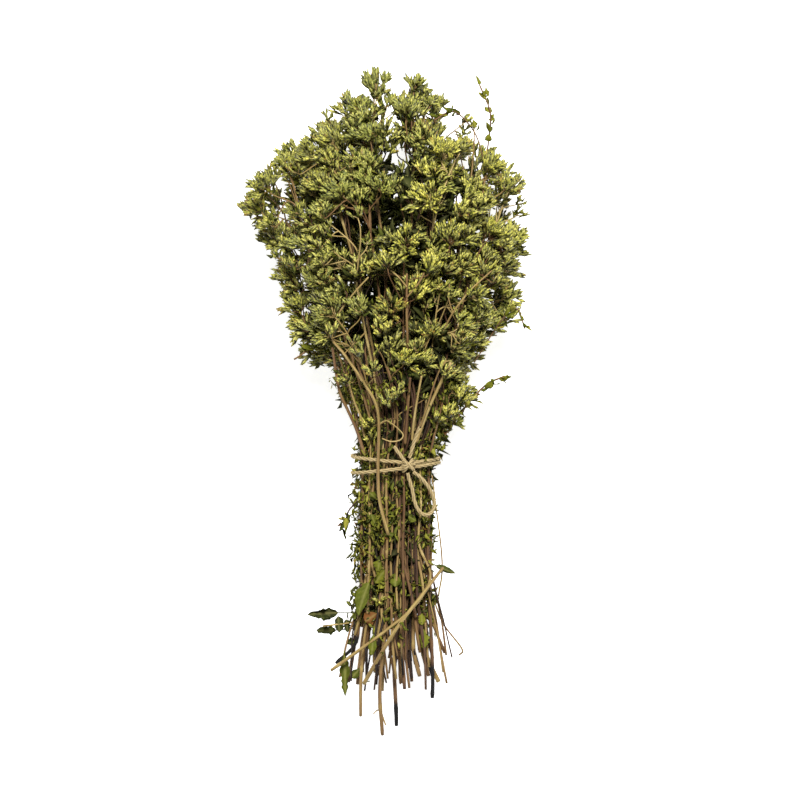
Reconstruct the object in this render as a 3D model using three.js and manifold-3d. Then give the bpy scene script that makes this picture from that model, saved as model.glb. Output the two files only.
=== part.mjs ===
// A bunch of dried oregano, lying on its side: flowering stems tied with jute twine.
// Millimetres, +Z up. The bunch lies along Y, with its flower heads towards +Y.
import * as THREE from 'three';
import { mergeVertices } from 'three/addons/utils/BufferGeometryUtils.js';
import Module from 'manifold-3d';

const wasm = await Module();
wasm.setup();
const { lerp, clamp, degToRad } = THREE.MathUtils;

// ---- Driving dimensions ----

const CLEARANCE = 0.3; // between neighbouring pieces
const FLOOR = 0; // the height of the surface that the bunch lies on

const STEM_RADIUS = 0.95; // of a main stem
const STEM_PITCH = 3.6; // least distance between the middles of two stems
const TWIG_RADIUS = 0.65; // of the branchlets inside a flower head
const FLARE = 1.5; // how late a stem turns out of the bundle: 1 is a straight line

const TIE = new THREE.Vector3(5.5, -38, 42); // the middle of the bundle, where it is tied
const TWINE_RADIUS = 1.1;
const TWINE_TURN = { halfWidth: 25.8, halfThick: 21.8 }; // of each turn round the bundle

// Outline of the bunch, from the cut ends to the tops:
// [along, middle across, half width, half thickness, height of the middle].
const OUTLINE = [
  [-200, 4, 34, 24, 23],
  [-150, 4, 30, 23.5, 26],
  [-118, 5, 26, 22, 31],
  [-38, 5.5, 25.5, 21.5, 42],
  [0, 12, 44, 34, 47],
  [30, 4, 60, 45, 50],
  [55, 8, 71, 53, 53],
  [85, 7, 79, 58, 55],
  [120, 0, 88, 60, 56],
  [145, 0, 80, 55, 56],
  [165, 6, 57, 44, 56],
  [185, 2, 34, 30, 56],
  [204, -2, 10, 12, 55],
];

// Places along the bunch where the stems are laid side by side.
const STATIONS = [
  -150, -134, -118, -90, -62, -38, -25, -12, 3, 18, 34, 50, 66, 82, 98, 114, 130, 146,
];

// Flower heads on the upper side. Each head lists its clusters as
// [across, along, radius, depth under the outline], the leading one first.
const UPPER_HEADS = [
  [[-8, 189, 10.5, 0], [-20, 175, 9.5, 4]],
  [[20, 189, 9, 0], [14, 174, 10.5, 4], [33, 177, 6, 6]],
  [[-38, 156, 10.5, 2], [-53, 144, 11.5, 3], [-25, 145, 7, 12], [-44, 129, 9.5, 4]],
  [[-13, 158, 11.5, 2], [-17, 131, 9.5, 12], [-31, 124, 10.5, 0], [-3, 127, 10.5, 8]],
  [[-77, 128, 10.5, 0], [-67, 141, 8, 2], [-70, 110, 8, 0], [-57, 113, 7.5, 3]],
  [[36, 149, 12.5, 2], [23, 120, 14, 0], [52, 150, 7.5, 6]],
  [[57, 162, 6, 4], [67, 140, 11.5, 0], [79, 128, 8, 4], [55, 121, 9.5, 3]],
  [[43, 98, 12.5, 1], [70, 99, 12, 0], [77, 82, 7.5, 0], [66, 79, 9, 4]],
  [[-20, 110, 11, 4], [-43, 108, 8.5, 4], [-36, 90, 12, 0], [-16, 94, 9, 20]],
  [[-55, 95, 9.5, 3], [-68, 94, 7, 8], [-47, 74, 11, 1]],
  [[13, 94, 12, 0], [-2, 82, 9.5, 6], [28, 81, 9.5, 2], [21, 66, 10.5, 8], [2, 55, 11, 2]],
  [[38, 68, 7.5, 10], [59, 63, 11.5, 0], [51, 46, 10, 2], [29, 42, 9, 8], [52, 29, 10, 4]],
  [[-20, 56, 10, 6], [-40, 54, 12.5, 0], [-53, 45, 9, 8], [-21, 36, 9.5, 1], [-25, 13, 6, 2]],
  [[14, 27, 11.5, 0], [-8, 31, 9, 6], [1, 3, 8, 2], [26, 2, 6.5, 4], [-12, -14, 6, 1]],
  [[45, 6, 10, 1], [57, 7, 7, 4], [36, -12, 6, 2]],
];
// Flower heads round the sides and the underside:
// [angle round the bunch in degrees, 270 being straight down, along, half span, clusters].
const LOWER_HEADS = [
  [222, 14, 15, 4],
  [318, 22, 17, 5],
  [194, 62, 21, 7],
  [264, 70, 22, 8],
  [338, 62, 20, 7],
  [190, 116, 21, 7],
  [240, 122, 21, 7],
  [294, 120, 21, 7],
  [346, 112, 20, 7],
  [222, 162, 17, 6],
  [318, 162, 17, 6],
];
const LOWER_CLUSTER_RADIUS = 10.5;

// The stems stand in rings at the tie, those of the highest heads innermost:
// the share of the stems that each ring holds, and its size as a share of the bundle's.
const RINGS = [
  { share: 0.2, reach: 0.3 },
  { share: 0.36, reach: 0.62 },
  { share: 0.44, reach: 0.9 },
];

// Stems whose cut ends lie apart from the rest, by number: the places that each passes below
// the tie, from its cut end upwards, as [across, along, height].
const LOOSE_ENDS = {
  4: [[5.6, -194.8, 28]],
  6: [[20, -165, 32]],
  8: [[27, -178.2, 30]],
  9: [[-10, -152, 36]],
  10: [[-30.5, -157.4, 31]],
  11: [[10.4, -172.3, 44]],
  12: [[-33, -161, 47], [-10, -144, 51], [10, -129, 50.5], [26, -108, 44]],
  13: [[-15.7, -189, 33]],
  14: [[-2.7, -200, 36], [-4, -175, 44]],
  15: [[34.7, -151.5, 24]],
  20: [[31, -169.3, 12]],
};

// Leaves on the lower part of the stems: [foot of the blade, tip of the blade, width, roll].
const LEAVES = [
  [[-30, -125, 36], [-48, -127, 34], 9, 0.2],
  [[-33, -135, 26], [-44, -139, 25], 6, -0.5],
  [[-12, -110, 53.5], [-19, -128, 50], 8.5, -0.3],
  [[-24, -152, 45], [-23, -176, 36], 7.5, 0.5],
  [[31, -99, 42], [41, -104, 44], 5, 0.3],
];

// The knot lies on the upper side of the bundle, and the loose twine starts and ends at it.
const KNOT = new THREE.Vector3(12.7, -38.8, 64);
const KNOT_SIZE = [3.6, 3.2, 2.4]; // half sizes
const SHORT_END = [[12, -38, 64], [9.4, -34.4, 65], [6.6, -30.6, 65.6], [4.4, -27.6, 65.8]];
const BOW_LOOP = [
  [12.4, -43.4, 63.6], [13.7, -48, 62.8], [15.4, -54, 61.6], [16.5, -60, 60.6],
  [18.6, -65, 59.4], [21.6, -67.9, 58.2], [25, -67.9, 57], [27.6, -65.2, 56.2],
  [28.2, -60.6, 56.6], [26.6, -55, 58.4], [23.6, -50, 60.6], [19.6, -45.6, 62.4],
  [15.8, -42.6, 63.6],
];
const LOOSE_END = [
  [13.6, -34.6, 64], [14.6, -31, 64.6], [15.6, -27.4, 65.4], [16.8, -23.6, 66.4],
  [18.4, -19.4, 67.6], [20.4, -15, 68.8], [22.4, -11, 69.6], [23.6, -7, 70],
];

const COLOURS = {
  stems: [0xb59a6a, 0xa9763f, 0x8b5e4a, 0x9c7a55, 0x7d5545],
  flowers: [0x8f9440, 0x7a8436, 0xa3a24d, 0x6f7a33, 0x97906a],
  leaf: 0x6f7a4a,
  twine: 0xc1a97c,
};

// ---- Places on the bunch ----

// A repeatable random number from 0 to 1.
let seed = 7;
function random() {
  seed = (seed * 16807) % 2147483647;
  return seed / 2147483647;
}

const vectors = (places) => places.map((place) => new THREE.Vector3(...place));
const smooth = (points) => new THREE.CatmullRomCurve3(points, false, 'centripetal');

// The outline at one place along the bunch.
function outlineAt(y) {
  const above = OUTLINE.findIndex((row) => row[0] > y);
  const k = clamp(above - 1, 0, OUTLINE.length - 2);
  const [low, high] = [OUTLINE[k], OUTLINE[k + 1]];
  const t = clamp((y - low[0]) / (high[0] - low[0]), 0, 1);
  const [x, halfWidth, halfThick, z] = [1, 2, 3, 4].map((i) => lerp(low[i], high[i], t));
  return { x, halfWidth, halfThick, z };
}

// The point on the outline at an angle round the bunch, 0 being +X and a quarter turn straight
// up, and the way out from it.
function onOutline(angle, y, depth) {
  const o = outlineAt(y);
  const [across, rise] = [Math.cos(angle), Math.sin(angle)];
  const out = new THREE.Vector3(across / o.halfWidth, 0, rise / o.halfThick).normalize();
  const place = new THREE.Vector3(o.x + across * o.halfWidth, y, o.z + rise * o.halfThick);
  return { place: place.addScaledVector(out, -depth), out };
}

// The angle at which the upper side of the outline stands over a place.
function angleOver(x, y) {
  const o = outlineAt(y);
  return Math.acos(clamp((x - o.x) / o.halfWidth, -0.97, 0.97));
}

// ---- Solids ----

// A three.js geometry as a manifold-3d solid.
function solid(geometry) {
  const bare = geometry.clone();
  bare.deleteAttribute('normal');
  bare.deleteAttribute('uv');
  const merged = mergeVertices(bare, 1e-5);
  const corners = merged.index.array;
  const triVerts = [];
  for (let i = 0; i < corners.length; i += 3) {
    const [a, b, c] = corners.subarray(i, i + 3);
    if (a !== b && b !== c && c !== a) triVerts.push(a, b, c);
  }
  const mesh = new wasm.Mesh({
    numProp: 3,
    vertProperties: Float32Array.from(merged.attributes.position.array),
    triVerts: Uint32Array.from(triVerts),
  });
  return new wasm.Manifold(mesh);
}

// Whether the boxes of two solids overlap.
function boxesMeet(a, b) {
  const [p, q] = [a.boundingBox(), b.boundingBox()];
  return [0, 1, 2].every((k) => p.min[k] < q.max[k] && q.min[k] < p.max[k]);
}

// A solid with its neighbours' room cut out of it, without the crumbs that a cut leaves.
function clearOf(body, rooms) {
  const cut = rooms
    .filter((room) => boxesMeet(body, room))
    .reduce((rest, room) => rest.subtract(room), body);
  const bodies = cut.decompose();
  return bodies.reduce((best, next) => (next.volume() > best.volume() ? next : best));
}

// A many-sided tube along a smooth curve through points.
function tube(points, radius, sides, steps) {
  const section = new THREE.Shape();
  for (let k = 0; k < sides; k += 1) {
    const angle = (2 * Math.PI * k) / sides;
    const corner = [radius * Math.cos(angle), radius * Math.sin(angle)];
    if (k === 0) section.moveTo(...corner);
    else section.lineTo(...corner);
  }
  const settings = { steps, extrudePath: smooth(points), bevelEnabled: false };
  return solid(new THREE.ExtrudeGeometry(section, settings));
}

// ---- Clusters and flower heads ----

// The way a cluster faces: between straight out of the bunch and away from the tie.
function facing(place, out) {
  const fromTie = place.clone().sub(TIE).normalize();
  return fromTie.lerp(out, 0.5).normalize();
}

// One cluster of a head.
function cluster(angle, y, radius, depth) {
  const { place, out } = onOutline(angle, y, depth + 0.5 * radius);
  return { place, radius, axis: facing(place, out) };
}

// The clusters of a head on the upper side.
function upperClusters(rows) {
  return rows.map(([x, y, radius, depth]) => cluster(angleOver(x, y), y, radius, depth));
}

// The clusters of a head below: one in the middle and the rest in a ring round it.
function lowerClusters([degrees, y, span, count]) {
  const angle = degToRad(degrees);
  const o = outlineAt(y);
  const perRadian = Math.hypot(o.halfWidth * Math.sin(angle), o.halfThick * Math.cos(angle));
  const clusters = [cluster(angle, y, LOWER_CLUSTER_RADIUS, 0)];
  for (let k = 1; k < count; k += 1) {
    const turn = (2 * Math.PI * (k + 0.3 * random())) / (count - 1);
    const radius = LOWER_CLUSTER_RADIUS * (0.85 + 0.2 * random());
    const aside = (span * Math.cos(turn)) / perRadian;
    clusters.push(cluster(angle + aside, y + span * Math.sin(turn), radius, 5 * random()));
  }
  return clusters;
}

// A cluster's solid: a shallow cup of flowers with a domed top, on its own axis.
const CLUSTER_PROFILE = [[0, -0.7], [1, 0.12], [0.45, 0.54], [0, 0.6]]; // [out, up] in radii
const CLUSTER_SIDES = 6;
function clusterSolid({ place, radius, axis }, grow) {
  const profile = CLUSTER_PROFILE.map(([out, up]) => {
    const point = new THREE.Vector2(out, up).multiplyScalar(radius);
    return out === 0 ? point.setY(point.y + Math.sign(up) * grow) : point.setX(point.x + grow);
  });
  const shape = new THREE.LatheGeometry(profile, CLUSTER_SIDES);
  shape.applyQuaternion(new THREE.Quaternion().setFromUnitVectors(new THREE.Vector3(0, 1, 0), axis));
  return solid(shape.translate(...place));
}

// Where a head's stem ends: behind its clusters, towards the tie, and not too near the tie.
const LOWEST_BASE = 24; // above the tie
function headBase(clusters) {
  const middle = new THREE.Vector3();
  const out = new THREE.Vector3();
  for (const { place, axis } of clusters) {
    middle.addScaledVector(place, 1 / clusters.length);
    out.add(axis);
  }
  const reach = 16 + Math.max(...clusters.map(({ place }) => place.distanceTo(middle)));
  const back = TIE.clone().sub(middle).setLength(reach);
  const room = middle.y - TIE.y - LOWEST_BASE;
  if (-back.y > room) {
    back.multiplyScalar(Math.max(0.2, room / -back.y));
    back.set(0.2 * back.x, back.y, 0.5 * back.z);
  }
  const base = middle.add(back).addScaledVector(out.normalize(), -3);
  const distance = (y) => Math.abs(y - base.y);
  return base.setY(STATIONS.reduce((best, y) => (distance(y) < distance(best) ? y : best)));
}

// A branchlet bends a little on its way, and round whatever stands in it: [aside, back] as
// shares of its length, the first choice first.
const BENDS = [
  [0, 0.12], [0.2, 0.05], [-0.2, 0.05], [0, -0.15], [0.35, 0], [-0.35, 0], [0, -0.35],
  [0.25, -0.3], [-0.25, -0.3], [0, 0.35],
];
function bentRoute(from, to, axis, obstacles) {
  const long = from.distanceTo(to);
  const side = to.clone().sub(from).cross(axis).normalize();
  const routes = BENDS.map(([aside, back]) => {
    const middle = from.clone().lerp(to, 0.55);
    middle.addScaledVector(side, aside * long).addScaledVector(axis, -back * long);
    return [from, middle, to];
  });
  const isClear = (route) => {
    const twig = tube(route, TWIG_RADIUS, 4, 2);
    return obstacles.every((o) => !boxesMeet(twig, o) || twig.intersect(o).isEmpty());
  };
  return routes.find(isClear) ?? routes[0];
}

// The routes of a head's branchlets: a leading one to the first cluster, and one from that to
// each other cluster, leaving it at about 45 degrees.
function branchletRoutes({ clusters, base }, obstacles) {
  const foot = ({ place, axis, radius }) => place.clone().addScaledVector(axis, -0.35 * radius);
  const [first, ...others] = clusters;
  const way = foot(first).sub(base);
  const long = way.length();
  way.normalize();
  const start = base.clone().addScaledVector(way, -1);
  const leading = bentRoute(start, foot(first), first.axis, obstacles);
  const onLeading = smooth(leading);
  const side = others.map((c) => {
    const arm = foot(c).sub(base);
    const ahead = arm.dot(way);
    const aside = Math.sqrt(Math.max(0, arm.lengthSq() - ahead * ahead));
    const from = onLeading.getPoint(clamp((ahead - 0.9 * aside) / long, 0.04, 0.8));
    return bentRoute(from, foot(c), c.axis, obstacles);
  });
  return [leading, ...side];
}

// A head in one piece: its clusters on their branchlets, made larger all round by grow.
function headSolid({ clusters, routes }, grow) {
  const twigs = routes.map((route) => tube(route, TWIG_RADIUS + grow, 4, 2));
  const cups = clusters.map((c) => clusterSolid(c, grow));
  return [...cups, ...twigs].reduce((whole, next) => whole.add(next));
}

// ---- Stems ----

// The angle round the bunch at which a head's base lies.
function angleOf({ base }) {
  const o = outlineAt(base.y);
  return Math.atan2((base.z - o.z) / o.halfThick, (base.x - o.x) / o.halfWidth);
}

// Gives each head's stem its place at the tie: a ring, and an angle near the head's own.
function placeAtTie(heads) {
  const byHeight = [...heads].sort((a, b) => b.base.y - a.base.y);
  for (const ring of RINGS) {
    const isLast = ring === RINGS.at(-1);
    const count = isLast ? byHeight.length : Math.round(ring.share * heads.length);
    const members = byHeight.splice(0, count).sort((a, b) => angleOf(a) - angleOf(b));
    members.forEach((head, k) => {
      const even = -Math.PI + (2 * Math.PI * (k + 0.5)) / members.length;
      head.angle = lerp(even, angleOf(head), 0.25);
      head.reach = ring.reach;
    });
  }
}

// A stem's place in the bundle at some distance along it.
function inBundle({ angle, reach }, y, widen = 1) {
  const o = outlineAt(y);
  const inside = 2.2; // from the outline to the middle of the outermost stems
  return new THREE.Vector3(
    o.x + widen * reach * Math.cos(angle) * (o.halfWidth - inside),
    y,
    o.z + widen * reach * Math.sin(angle) * (o.halfThick - inside),
  );
}

// Where a stem passes each station, before its neighbours push it aside.
function stemRoute(head, number) {
  const end = inBundle(head, -172 + 34 * random(), 1.05 + 0.2 * random());
  end.z = Math.max(end.z, FLOOR + STEM_RADIUS + 0.1);
  const route = number in LOOSE_ENDS ? vectors(LOOSE_ENDS[number]) : [end];
  const begins = route.at(-1).y + 6;
  for (const y of STATIONS) {
    if (y > begins && y <= TIE.y) route.push(inBundle(head, y));
  }
  const tie = inBundle(head, TIE.y);
  for (const y of STATIONS) {
    if (y <= TIE.y || y > head.base.y - 1) continue;
    const share = ((y - TIE.y) / (head.base.y - TIE.y)) ** FLARE;
    route.push(tie.clone().lerp(head.base, share).setY(y));
  }
  return [...route, head.base];
}

// Stems lie side by side: points of one station push each other a pitch apart.
function settle(points) {
  for (let pass = 0; pass < 60; pass += 1) {
    for (const a of points) {
      for (const b of points) {
        const apart = Math.hypot(a.x - b.x, a.z - b.z);
        if (a === b || apart >= STEM_PITCH) continue;
        const push = (STEM_PITCH - apart) / (2 * Math.max(apart, 0.01));
        const [dx, dz] = [(a.x - b.x) * push, (a.z - b.z) * push];
        a.add(new THREE.Vector3(dx, 0, dz));
        b.add(new THREE.Vector3(-dx, 0, -dz));
      }
    }
  }
}

function stemSolid({ route }, grow) {
  return tube(route, STEM_RADIUS + grow, 6, route.length - 1);
}

// ---- Leaves ----

// A leaf: a thin cupped blade, on a stalk that reaches to the nearest stem.
function leafSolid([foot, tip, width, roll], stemPoints) {
  const [start, end] = vectors([foot, tip]);
  const along = end.clone().sub(start);
  const long = along.length();
  const blade = new THREE.SphereGeometry(1, 8, 6);
  const points = blade.attributes.position;
  for (let k = 0; k < points.count; k += 1) {
    const [u, v, w] = [points.getX(k), points.getY(k), points.getZ(k)];
    const cup = 0.18 * width * u * u - 0.08 * long * v * v;
    points.setXYZ(k, (width / 2) * u * (1 - 0.25 * v), (long / 2) * v, 0.45 * w + cup);
  }
  const up = new THREE.Vector3(Math.sin(roll), 0, Math.cos(roll));
  const side = along.clone().cross(up).normalize();
  const face = side.clone().cross(along).normalize();
  blade.applyMatrix4(new THREE.Matrix4().makeBasis(side, along.normalize(), face));
  blade.translate(...start.clone().lerp(end, 0.5));
  const nearer = (a, b) => (a.distanceTo(start) < b.distanceTo(start) ? a : b);
  const stalk = [stemPoints.reduce(nearer), start.clone().lerp(end, 0.2)];
  return solid(blade).add(tube(stalk, 0.5, 5, 1));
}

// ---- Twine ----

// One turn of the twine round the bundle. It starts and ends inside the knot, and shift says
// how far along the bunch it strays from the knot on its way.
function twineTurn(shift) {
  const steps = 32;
  const hidden = 0.025; // of a turn, inside the knot at each end
  const first = Math.acos((KNOT.x - TIE.x) / TWINE_TURN.halfWidth);
  const points = [];
  for (let k = 0; k <= steps; k += 1) {
    const turn = 2 * Math.PI * lerp(hidden, 1 - hidden, k / steps);
    const across = TWINE_TURN.halfWidth * Math.cos(first + turn);
    const rise = TWINE_TURN.halfThick * Math.sin(first + turn);
    points.push(new THREE.Vector3(TIE.x + across, KNOT.y + shift(turn), TIE.z + rise));
  }
  return tube(points, TWINE_RADIUS, 7, steps);
}

function knotSolid(grow) {
  const halfSizes = KNOT_SIZE.map((size) => size + grow);
  return solid(new THREE.IcosahedronGeometry(1, 1).scale(...halfSizes).translate(...KNOT));
}

// The tie: two turns and the short end, all joined in the knot.
function tieSolid() {
  const upper = twineTurn((turn) => 1.3 + 5 * Math.sin(turn / 2));
  const lower = twineTurn((turn) => -1.4 - 3.2 * Math.sin(turn));
  const shortEnd = tube(vectors(SHORT_END), TWINE_RADIUS, 7, 5);
  return knotSolid(0).add(upper).add(lower).add(shortEnd);
}

// ---- The bunch ----

const pieces = new THREE.Group();

function addPiece(name, body, color) {
  const { vertProperties, triVerts } = body.getMesh();
  const geometry = new THREE.BufferGeometry();
  geometry.setAttribute('position', new THREE.BufferAttribute(vertProperties, 3));
  geometry.setIndex(new THREE.BufferAttribute(triVerts, 1));
  geometry.computeVertexNormals();
  const material = new THREE.MeshStandardMaterial({ color, roughness: 0.9, metalness: 0 });
  const mesh = new THREE.Mesh(geometry, material);
  mesh.name = name;
  pieces.add(mesh);
}

const twoDigits = (k) => String(k + 1).padStart(2, '0');
const turnOf = (list, k) => list[k % list.length];

const clusterGroups = [...UPPER_HEADS.map(upperClusters), ...LOWER_HEADS.map(lowerClusters)];
const heads = clusterGroups.map((clusters) => ({ clusters, base: headBase(clusters) }));
placeAtTie(heads);
heads.forEach((head, k) => {
  head.route = stemRoute(head, k + 1);
});
for (const y of STATIONS) {
  settle(heads.flatMap(({ route }) => route.filter((point) => Math.abs(point.y - y) < 0.01)));
}
heads.forEach((head, k) => {
  addPiece(`stem_${twoDigits(k)}`, stemSolid(head, 0), turnOf(COLOURS.stems, k));
});
const stemRooms = heads.map((head) => stemSolid(head, CLEARANCE));

const headRooms = [];
heads.forEach((head, k) => {
  const obstacles = stemRooms.filter((room, j) => j !== k).concat(headRooms);
  head.routes = branchletRoutes(head, obstacles);
  const lying = headSolid(head, 0).trimByPlane([0, 0, 1], FLOOR);
  const body = clearOf(lying, [...stemRooms, ...headRooms]);
  headRooms.push(headSolid(head, CLEARANCE));
  addPiece(`flower_head_${twoDigits(k)}`, body, turnOf(COLOURS.flowers, k));
});

const stemPoints = heads.flatMap(({ route }) => smooth(route).getPoints(80));
LEAVES.forEach((leaf, k) => {
  addPiece(`leaf_${k + 1}`, clearOf(leafSolid(leaf, stemPoints), stemRooms), COLOURS.leaf);
});

const knotRoom = knotSolid(CLEARANCE);
const bowLoop = tube(vectors(BOW_LOOP), TWINE_RADIUS, 8, 16);
const looseEnd = tube(vectors(LOOSE_END), TWINE_RADIUS, 8, 8);
addPiece('twine_tie', clearOf(tieSolid(), stemRooms), COLOURS.twine);
addPiece('twine_bow_loop', clearOf(bowLoop, [knotRoom]), COLOURS.twine);
addPiece('twine_loose_end', clearOf(looseEnd, [knotRoom]), COLOURS.twine);

// The origin is the middle of the bunch's footprint, at the surface it lies on.
const box = new THREE.Box3().setFromObject(pieces);
const middle = box.getCenter(new THREE.Vector3());
pieces.position.set(-middle.x, -middle.y, -box.min.z);

const bunch = new THREE.Group();
bunch.add(pieces);
export default bunch;
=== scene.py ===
"""A bunch of dried oregano: flowering stems gathered in the hand, tied with jute twine and laid
on its side. It lies along Y with its flowers towards +Y. Sizes are in millimetres until build()
turns them to metres."""
import math

import bpy
import numpy as np
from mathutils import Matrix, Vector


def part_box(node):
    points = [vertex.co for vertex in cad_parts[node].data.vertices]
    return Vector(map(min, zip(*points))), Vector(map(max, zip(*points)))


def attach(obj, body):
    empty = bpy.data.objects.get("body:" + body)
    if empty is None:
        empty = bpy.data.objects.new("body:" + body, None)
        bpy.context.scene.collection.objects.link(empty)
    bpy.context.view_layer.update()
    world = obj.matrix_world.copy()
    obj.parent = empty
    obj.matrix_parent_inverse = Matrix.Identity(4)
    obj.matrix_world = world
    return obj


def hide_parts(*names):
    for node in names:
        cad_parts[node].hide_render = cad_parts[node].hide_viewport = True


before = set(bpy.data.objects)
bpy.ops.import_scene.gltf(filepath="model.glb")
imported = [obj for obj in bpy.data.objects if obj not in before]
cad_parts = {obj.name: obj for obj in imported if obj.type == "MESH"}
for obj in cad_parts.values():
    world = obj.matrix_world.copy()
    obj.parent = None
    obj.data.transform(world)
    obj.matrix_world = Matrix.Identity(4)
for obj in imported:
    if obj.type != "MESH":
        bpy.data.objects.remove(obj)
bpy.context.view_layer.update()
chance = np.random.default_rng(11)

# ---- Camera ----
# It looks straight down on the lying bunch, flowers up in the picture, through a long lens that
# shows near and far parts at nearly the same size.
MM = 0.001
FIELD = 474.4 * MM  # width of the picture, at the height of the middle of the bunch
AIM = (7.7 * MM, 1.15 * MM, 56 * MM)

lens = bpy.data.cameras.new("camera")
lens.lens, lens.sensor_width = 300, 36
camera = bpy.data.objects.new("camera", lens)
camera.location = (AIM[0], AIM[1], AIM[2] + FIELD * lens.lens / lens.sensor_width)
bpy.context.scene.collection.objects.link(camera)
bpy.context.scene.camera = camera

# ---- Jute twine: the bow loop and the loose end ----
# Natural jute, three plies laid together, 2.2 mm thick and limp. One loop of the bow hangs from
# the knot back into it, and the longer end runs up over the stems.
TWINE_RADIUS = 1.1
TWINE_PLIES = 3
TWINE_PITCH = 13.0  # length of one full turn of the plies
KNOT = np.array([12.7, -38.8, 64.0])
ROUND, ALONG = np.array([0, 1, 1, 0]), np.array([0, 0, 1, 1])  # a side face's four corners
BOW_LOOP = [
    [12.4, -43.4, 63.6], [13.7, -48, 62.8], [15.4, -54, 61.6], [16.5, -60, 60.6],
    [18.6, -65, 59.4], [21.6, -67.9, 58.2], [25, -67.9, 57], [27.6, -65.2, 56.2],
    [28.2, -60.6, 56.6], [26.6, -55, 58.4], [23.6, -50, 60.6], [19.6, -45.6, 62.4],
    [15.8, -42.6, 63.6],
]
LOOSE_END = [
    [13.6, -34.6, 64], [14.6, -31, 64.6], [15.6, -27.4, 65.4], [16.8, -23.6, 66.4],
    [18.4, -19.4, 67.6], [20.4, -15, 68.8], [22.4, -11, 69.6], [23.6, -7, 70],
]
TWINE_COLOURS = [(0.02, "5c4c30"), (0.38, "826f49"), (0.6, "9f8b60"), (0.85, "baa77d")]


def box_mm(node):
    """A CAD node's lowest and highest corner in millimetres, as two rows."""
    return np.array(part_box(node)) / MM


def direction(v):
    """Each vector divided by its own length."""
    return v / np.maximum(np.linalg.norm(v, axis=-1, keepdims=True), 1e-9)


def square_to(v, way):
    """Each vector less its part along way, divided by its own length."""
    return direction(v - (v * way).sum(-1, keepdims=True) * way)


def through(points, count):
    """A smooth curve through points, as count places an even distance apart. Each span from b to
    c, with a before and d after it, is b + t(c-a)/2 + t^2(2a-5b+4c-d)/2 + t^3(3b-a-3c+d)/2."""
    p = np.asarray(points, float)
    p = np.vstack([2 * p[0] - p[1], p, 2 * p[-1] - p[-2]])
    t = np.linspace(0, len(p) - 3, 24 * len(p))
    i = np.minimum(t.astype(int), len(p) - 4)
    t = (t - i)[:, None]
    a, b, c, d = p[i], p[i + 1], p[i + 2], p[i + 3]
    fine = b + t * (c - a) / 2 + t**2 * (2 * a - 5 * b + 4 * c - d) / 2
    fine += t**3 * (3 * b - a - 3 * c + d) / 2
    gone = np.append(0, np.cumsum(np.linalg.norm(np.diff(fine, axis=0), axis=1)))
    even = np.linspace(0, gone[-1], count)
    return np.stack([np.interp(even, gone, axis) for axis in fine.T], 1)


def rings(path, radius, sides, up=(0, 0, 1), turn=0.0):
    """Rings round paths (k, m, 3). With T the way along, N = up less its part along T and
    B = T x N, a ring's points are path + radius (cos a N + sin a B), a going once round from
    turn. radius fits (k, m, sides)."""
    along = direction(np.gradient(path, axis=1))
    up = np.broadcast_to(up, path.shape)
    n = square_to(up, along)
    b = np.cross(along, n)
    a = np.linspace(0, 2 * np.pi, sides, endpoint=False)[:, None]
    a = a + np.asarray(turn, float)[..., None, None]
    r = np.broadcast_to(radius, path.shape[:2] + (sides,))[..., None]
    return path[:, :, None] + r * (np.cos(a) * n[:, :, None] + np.sin(a) * b[:, :, None])


def tube_faces(k, m, n):
    """Faces of k closed tubes of m rings with n sides: a side face joins neighbours round and
    along, and one face closes each end. Returns all faces' corners, and how many each has."""
    index = np.arange(k * m * n).reshape(k, m, n)
    after = np.roll(index, -1, 2)
    side = np.stack([index[:, :-1], after[:, :-1], after[:, 1:], index[:, 1:]], -1)
    ends = np.stack([index[:, 0, ::-1], index[:, -1]], 1)
    sizes = np.append(np.full(k * (m - 1) * n, 4), np.full(2 * k, n))
    return np.append(side, ends), sizes


def cell_map(k, m, n, low, high):
    """The map OFBake of those faces, corner by corner. Each tube has a cell of its own in the
    band from low to high, with its sides laid flat in it and its ends as discs below them."""
    columns = max(1, math.ceil(math.sqrt(k / (high - low))))
    rows = math.ceil(k / columns)
    at = np.stack([np.arange(k) % columns, np.arange(k) // columns], 1)
    cell = np.array([1 / columns, (high - low) / rows])

    def in_cell(x, y):
        """Places in each tube's cell, x and y going from 0 to 1 over its middle 92%."""
        inside = np.stack(np.broadcast_arrays(0.04 + 0.92 * x, 0.04 + 0.92 * y), -1)
        where = at.reshape((k,) + (1,) * (inside.ndim - 2) + (2,))
        return ((where + inside) * cell + (0, low)).reshape(-1, 2)

    u = np.arange(n)[:, None] + ROUND
    v = np.arange(m - 1)[:, None, None] + ALONG
    a = 2 * np.pi * np.arange(n) / n
    middle = np.array([[0.25], [0.75]])
    across = np.broadcast_to(middle + 0.2 * np.cos(a), (k, 2, n))
    up = 0.05 + 0.05 * np.broadcast_to(np.sin(a), (k, 2, n))
    sides = in_cell(np.broadcast_to(u / n, (k, m - 1, n, 4)), 0.14 + 0.86 * v / (m - 1))
    return np.concatenate([sides, in_cell(across, up)])


def grain_map(k, m, n, wide, step):
    """The map grain of those faces: millimetres round a tube, where a side has the mean of the
    widths wide, and along it, step by step. Each tube starts 37 mm on from the last."""
    length = np.concatenate([np.zeros((k, 1)), np.cumsum(step, 1)], 1) + 37 * np.arange(k)[:, None]
    along = length[:, np.arange(m - 1)[:, None, None] + ALONG]
    across = (np.arange(n)[:, None] + ROUND) * wide.mean(1)[:, None, None, None]
    sides = np.stack(np.broadcast_arrays(across, along), -1).reshape(-1, 2)
    ends = np.repeat(length[:, [0, -1]].ravel(), n)[:, None] + np.zeros(2)
    return np.concatenate([sides, ends])


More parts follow.
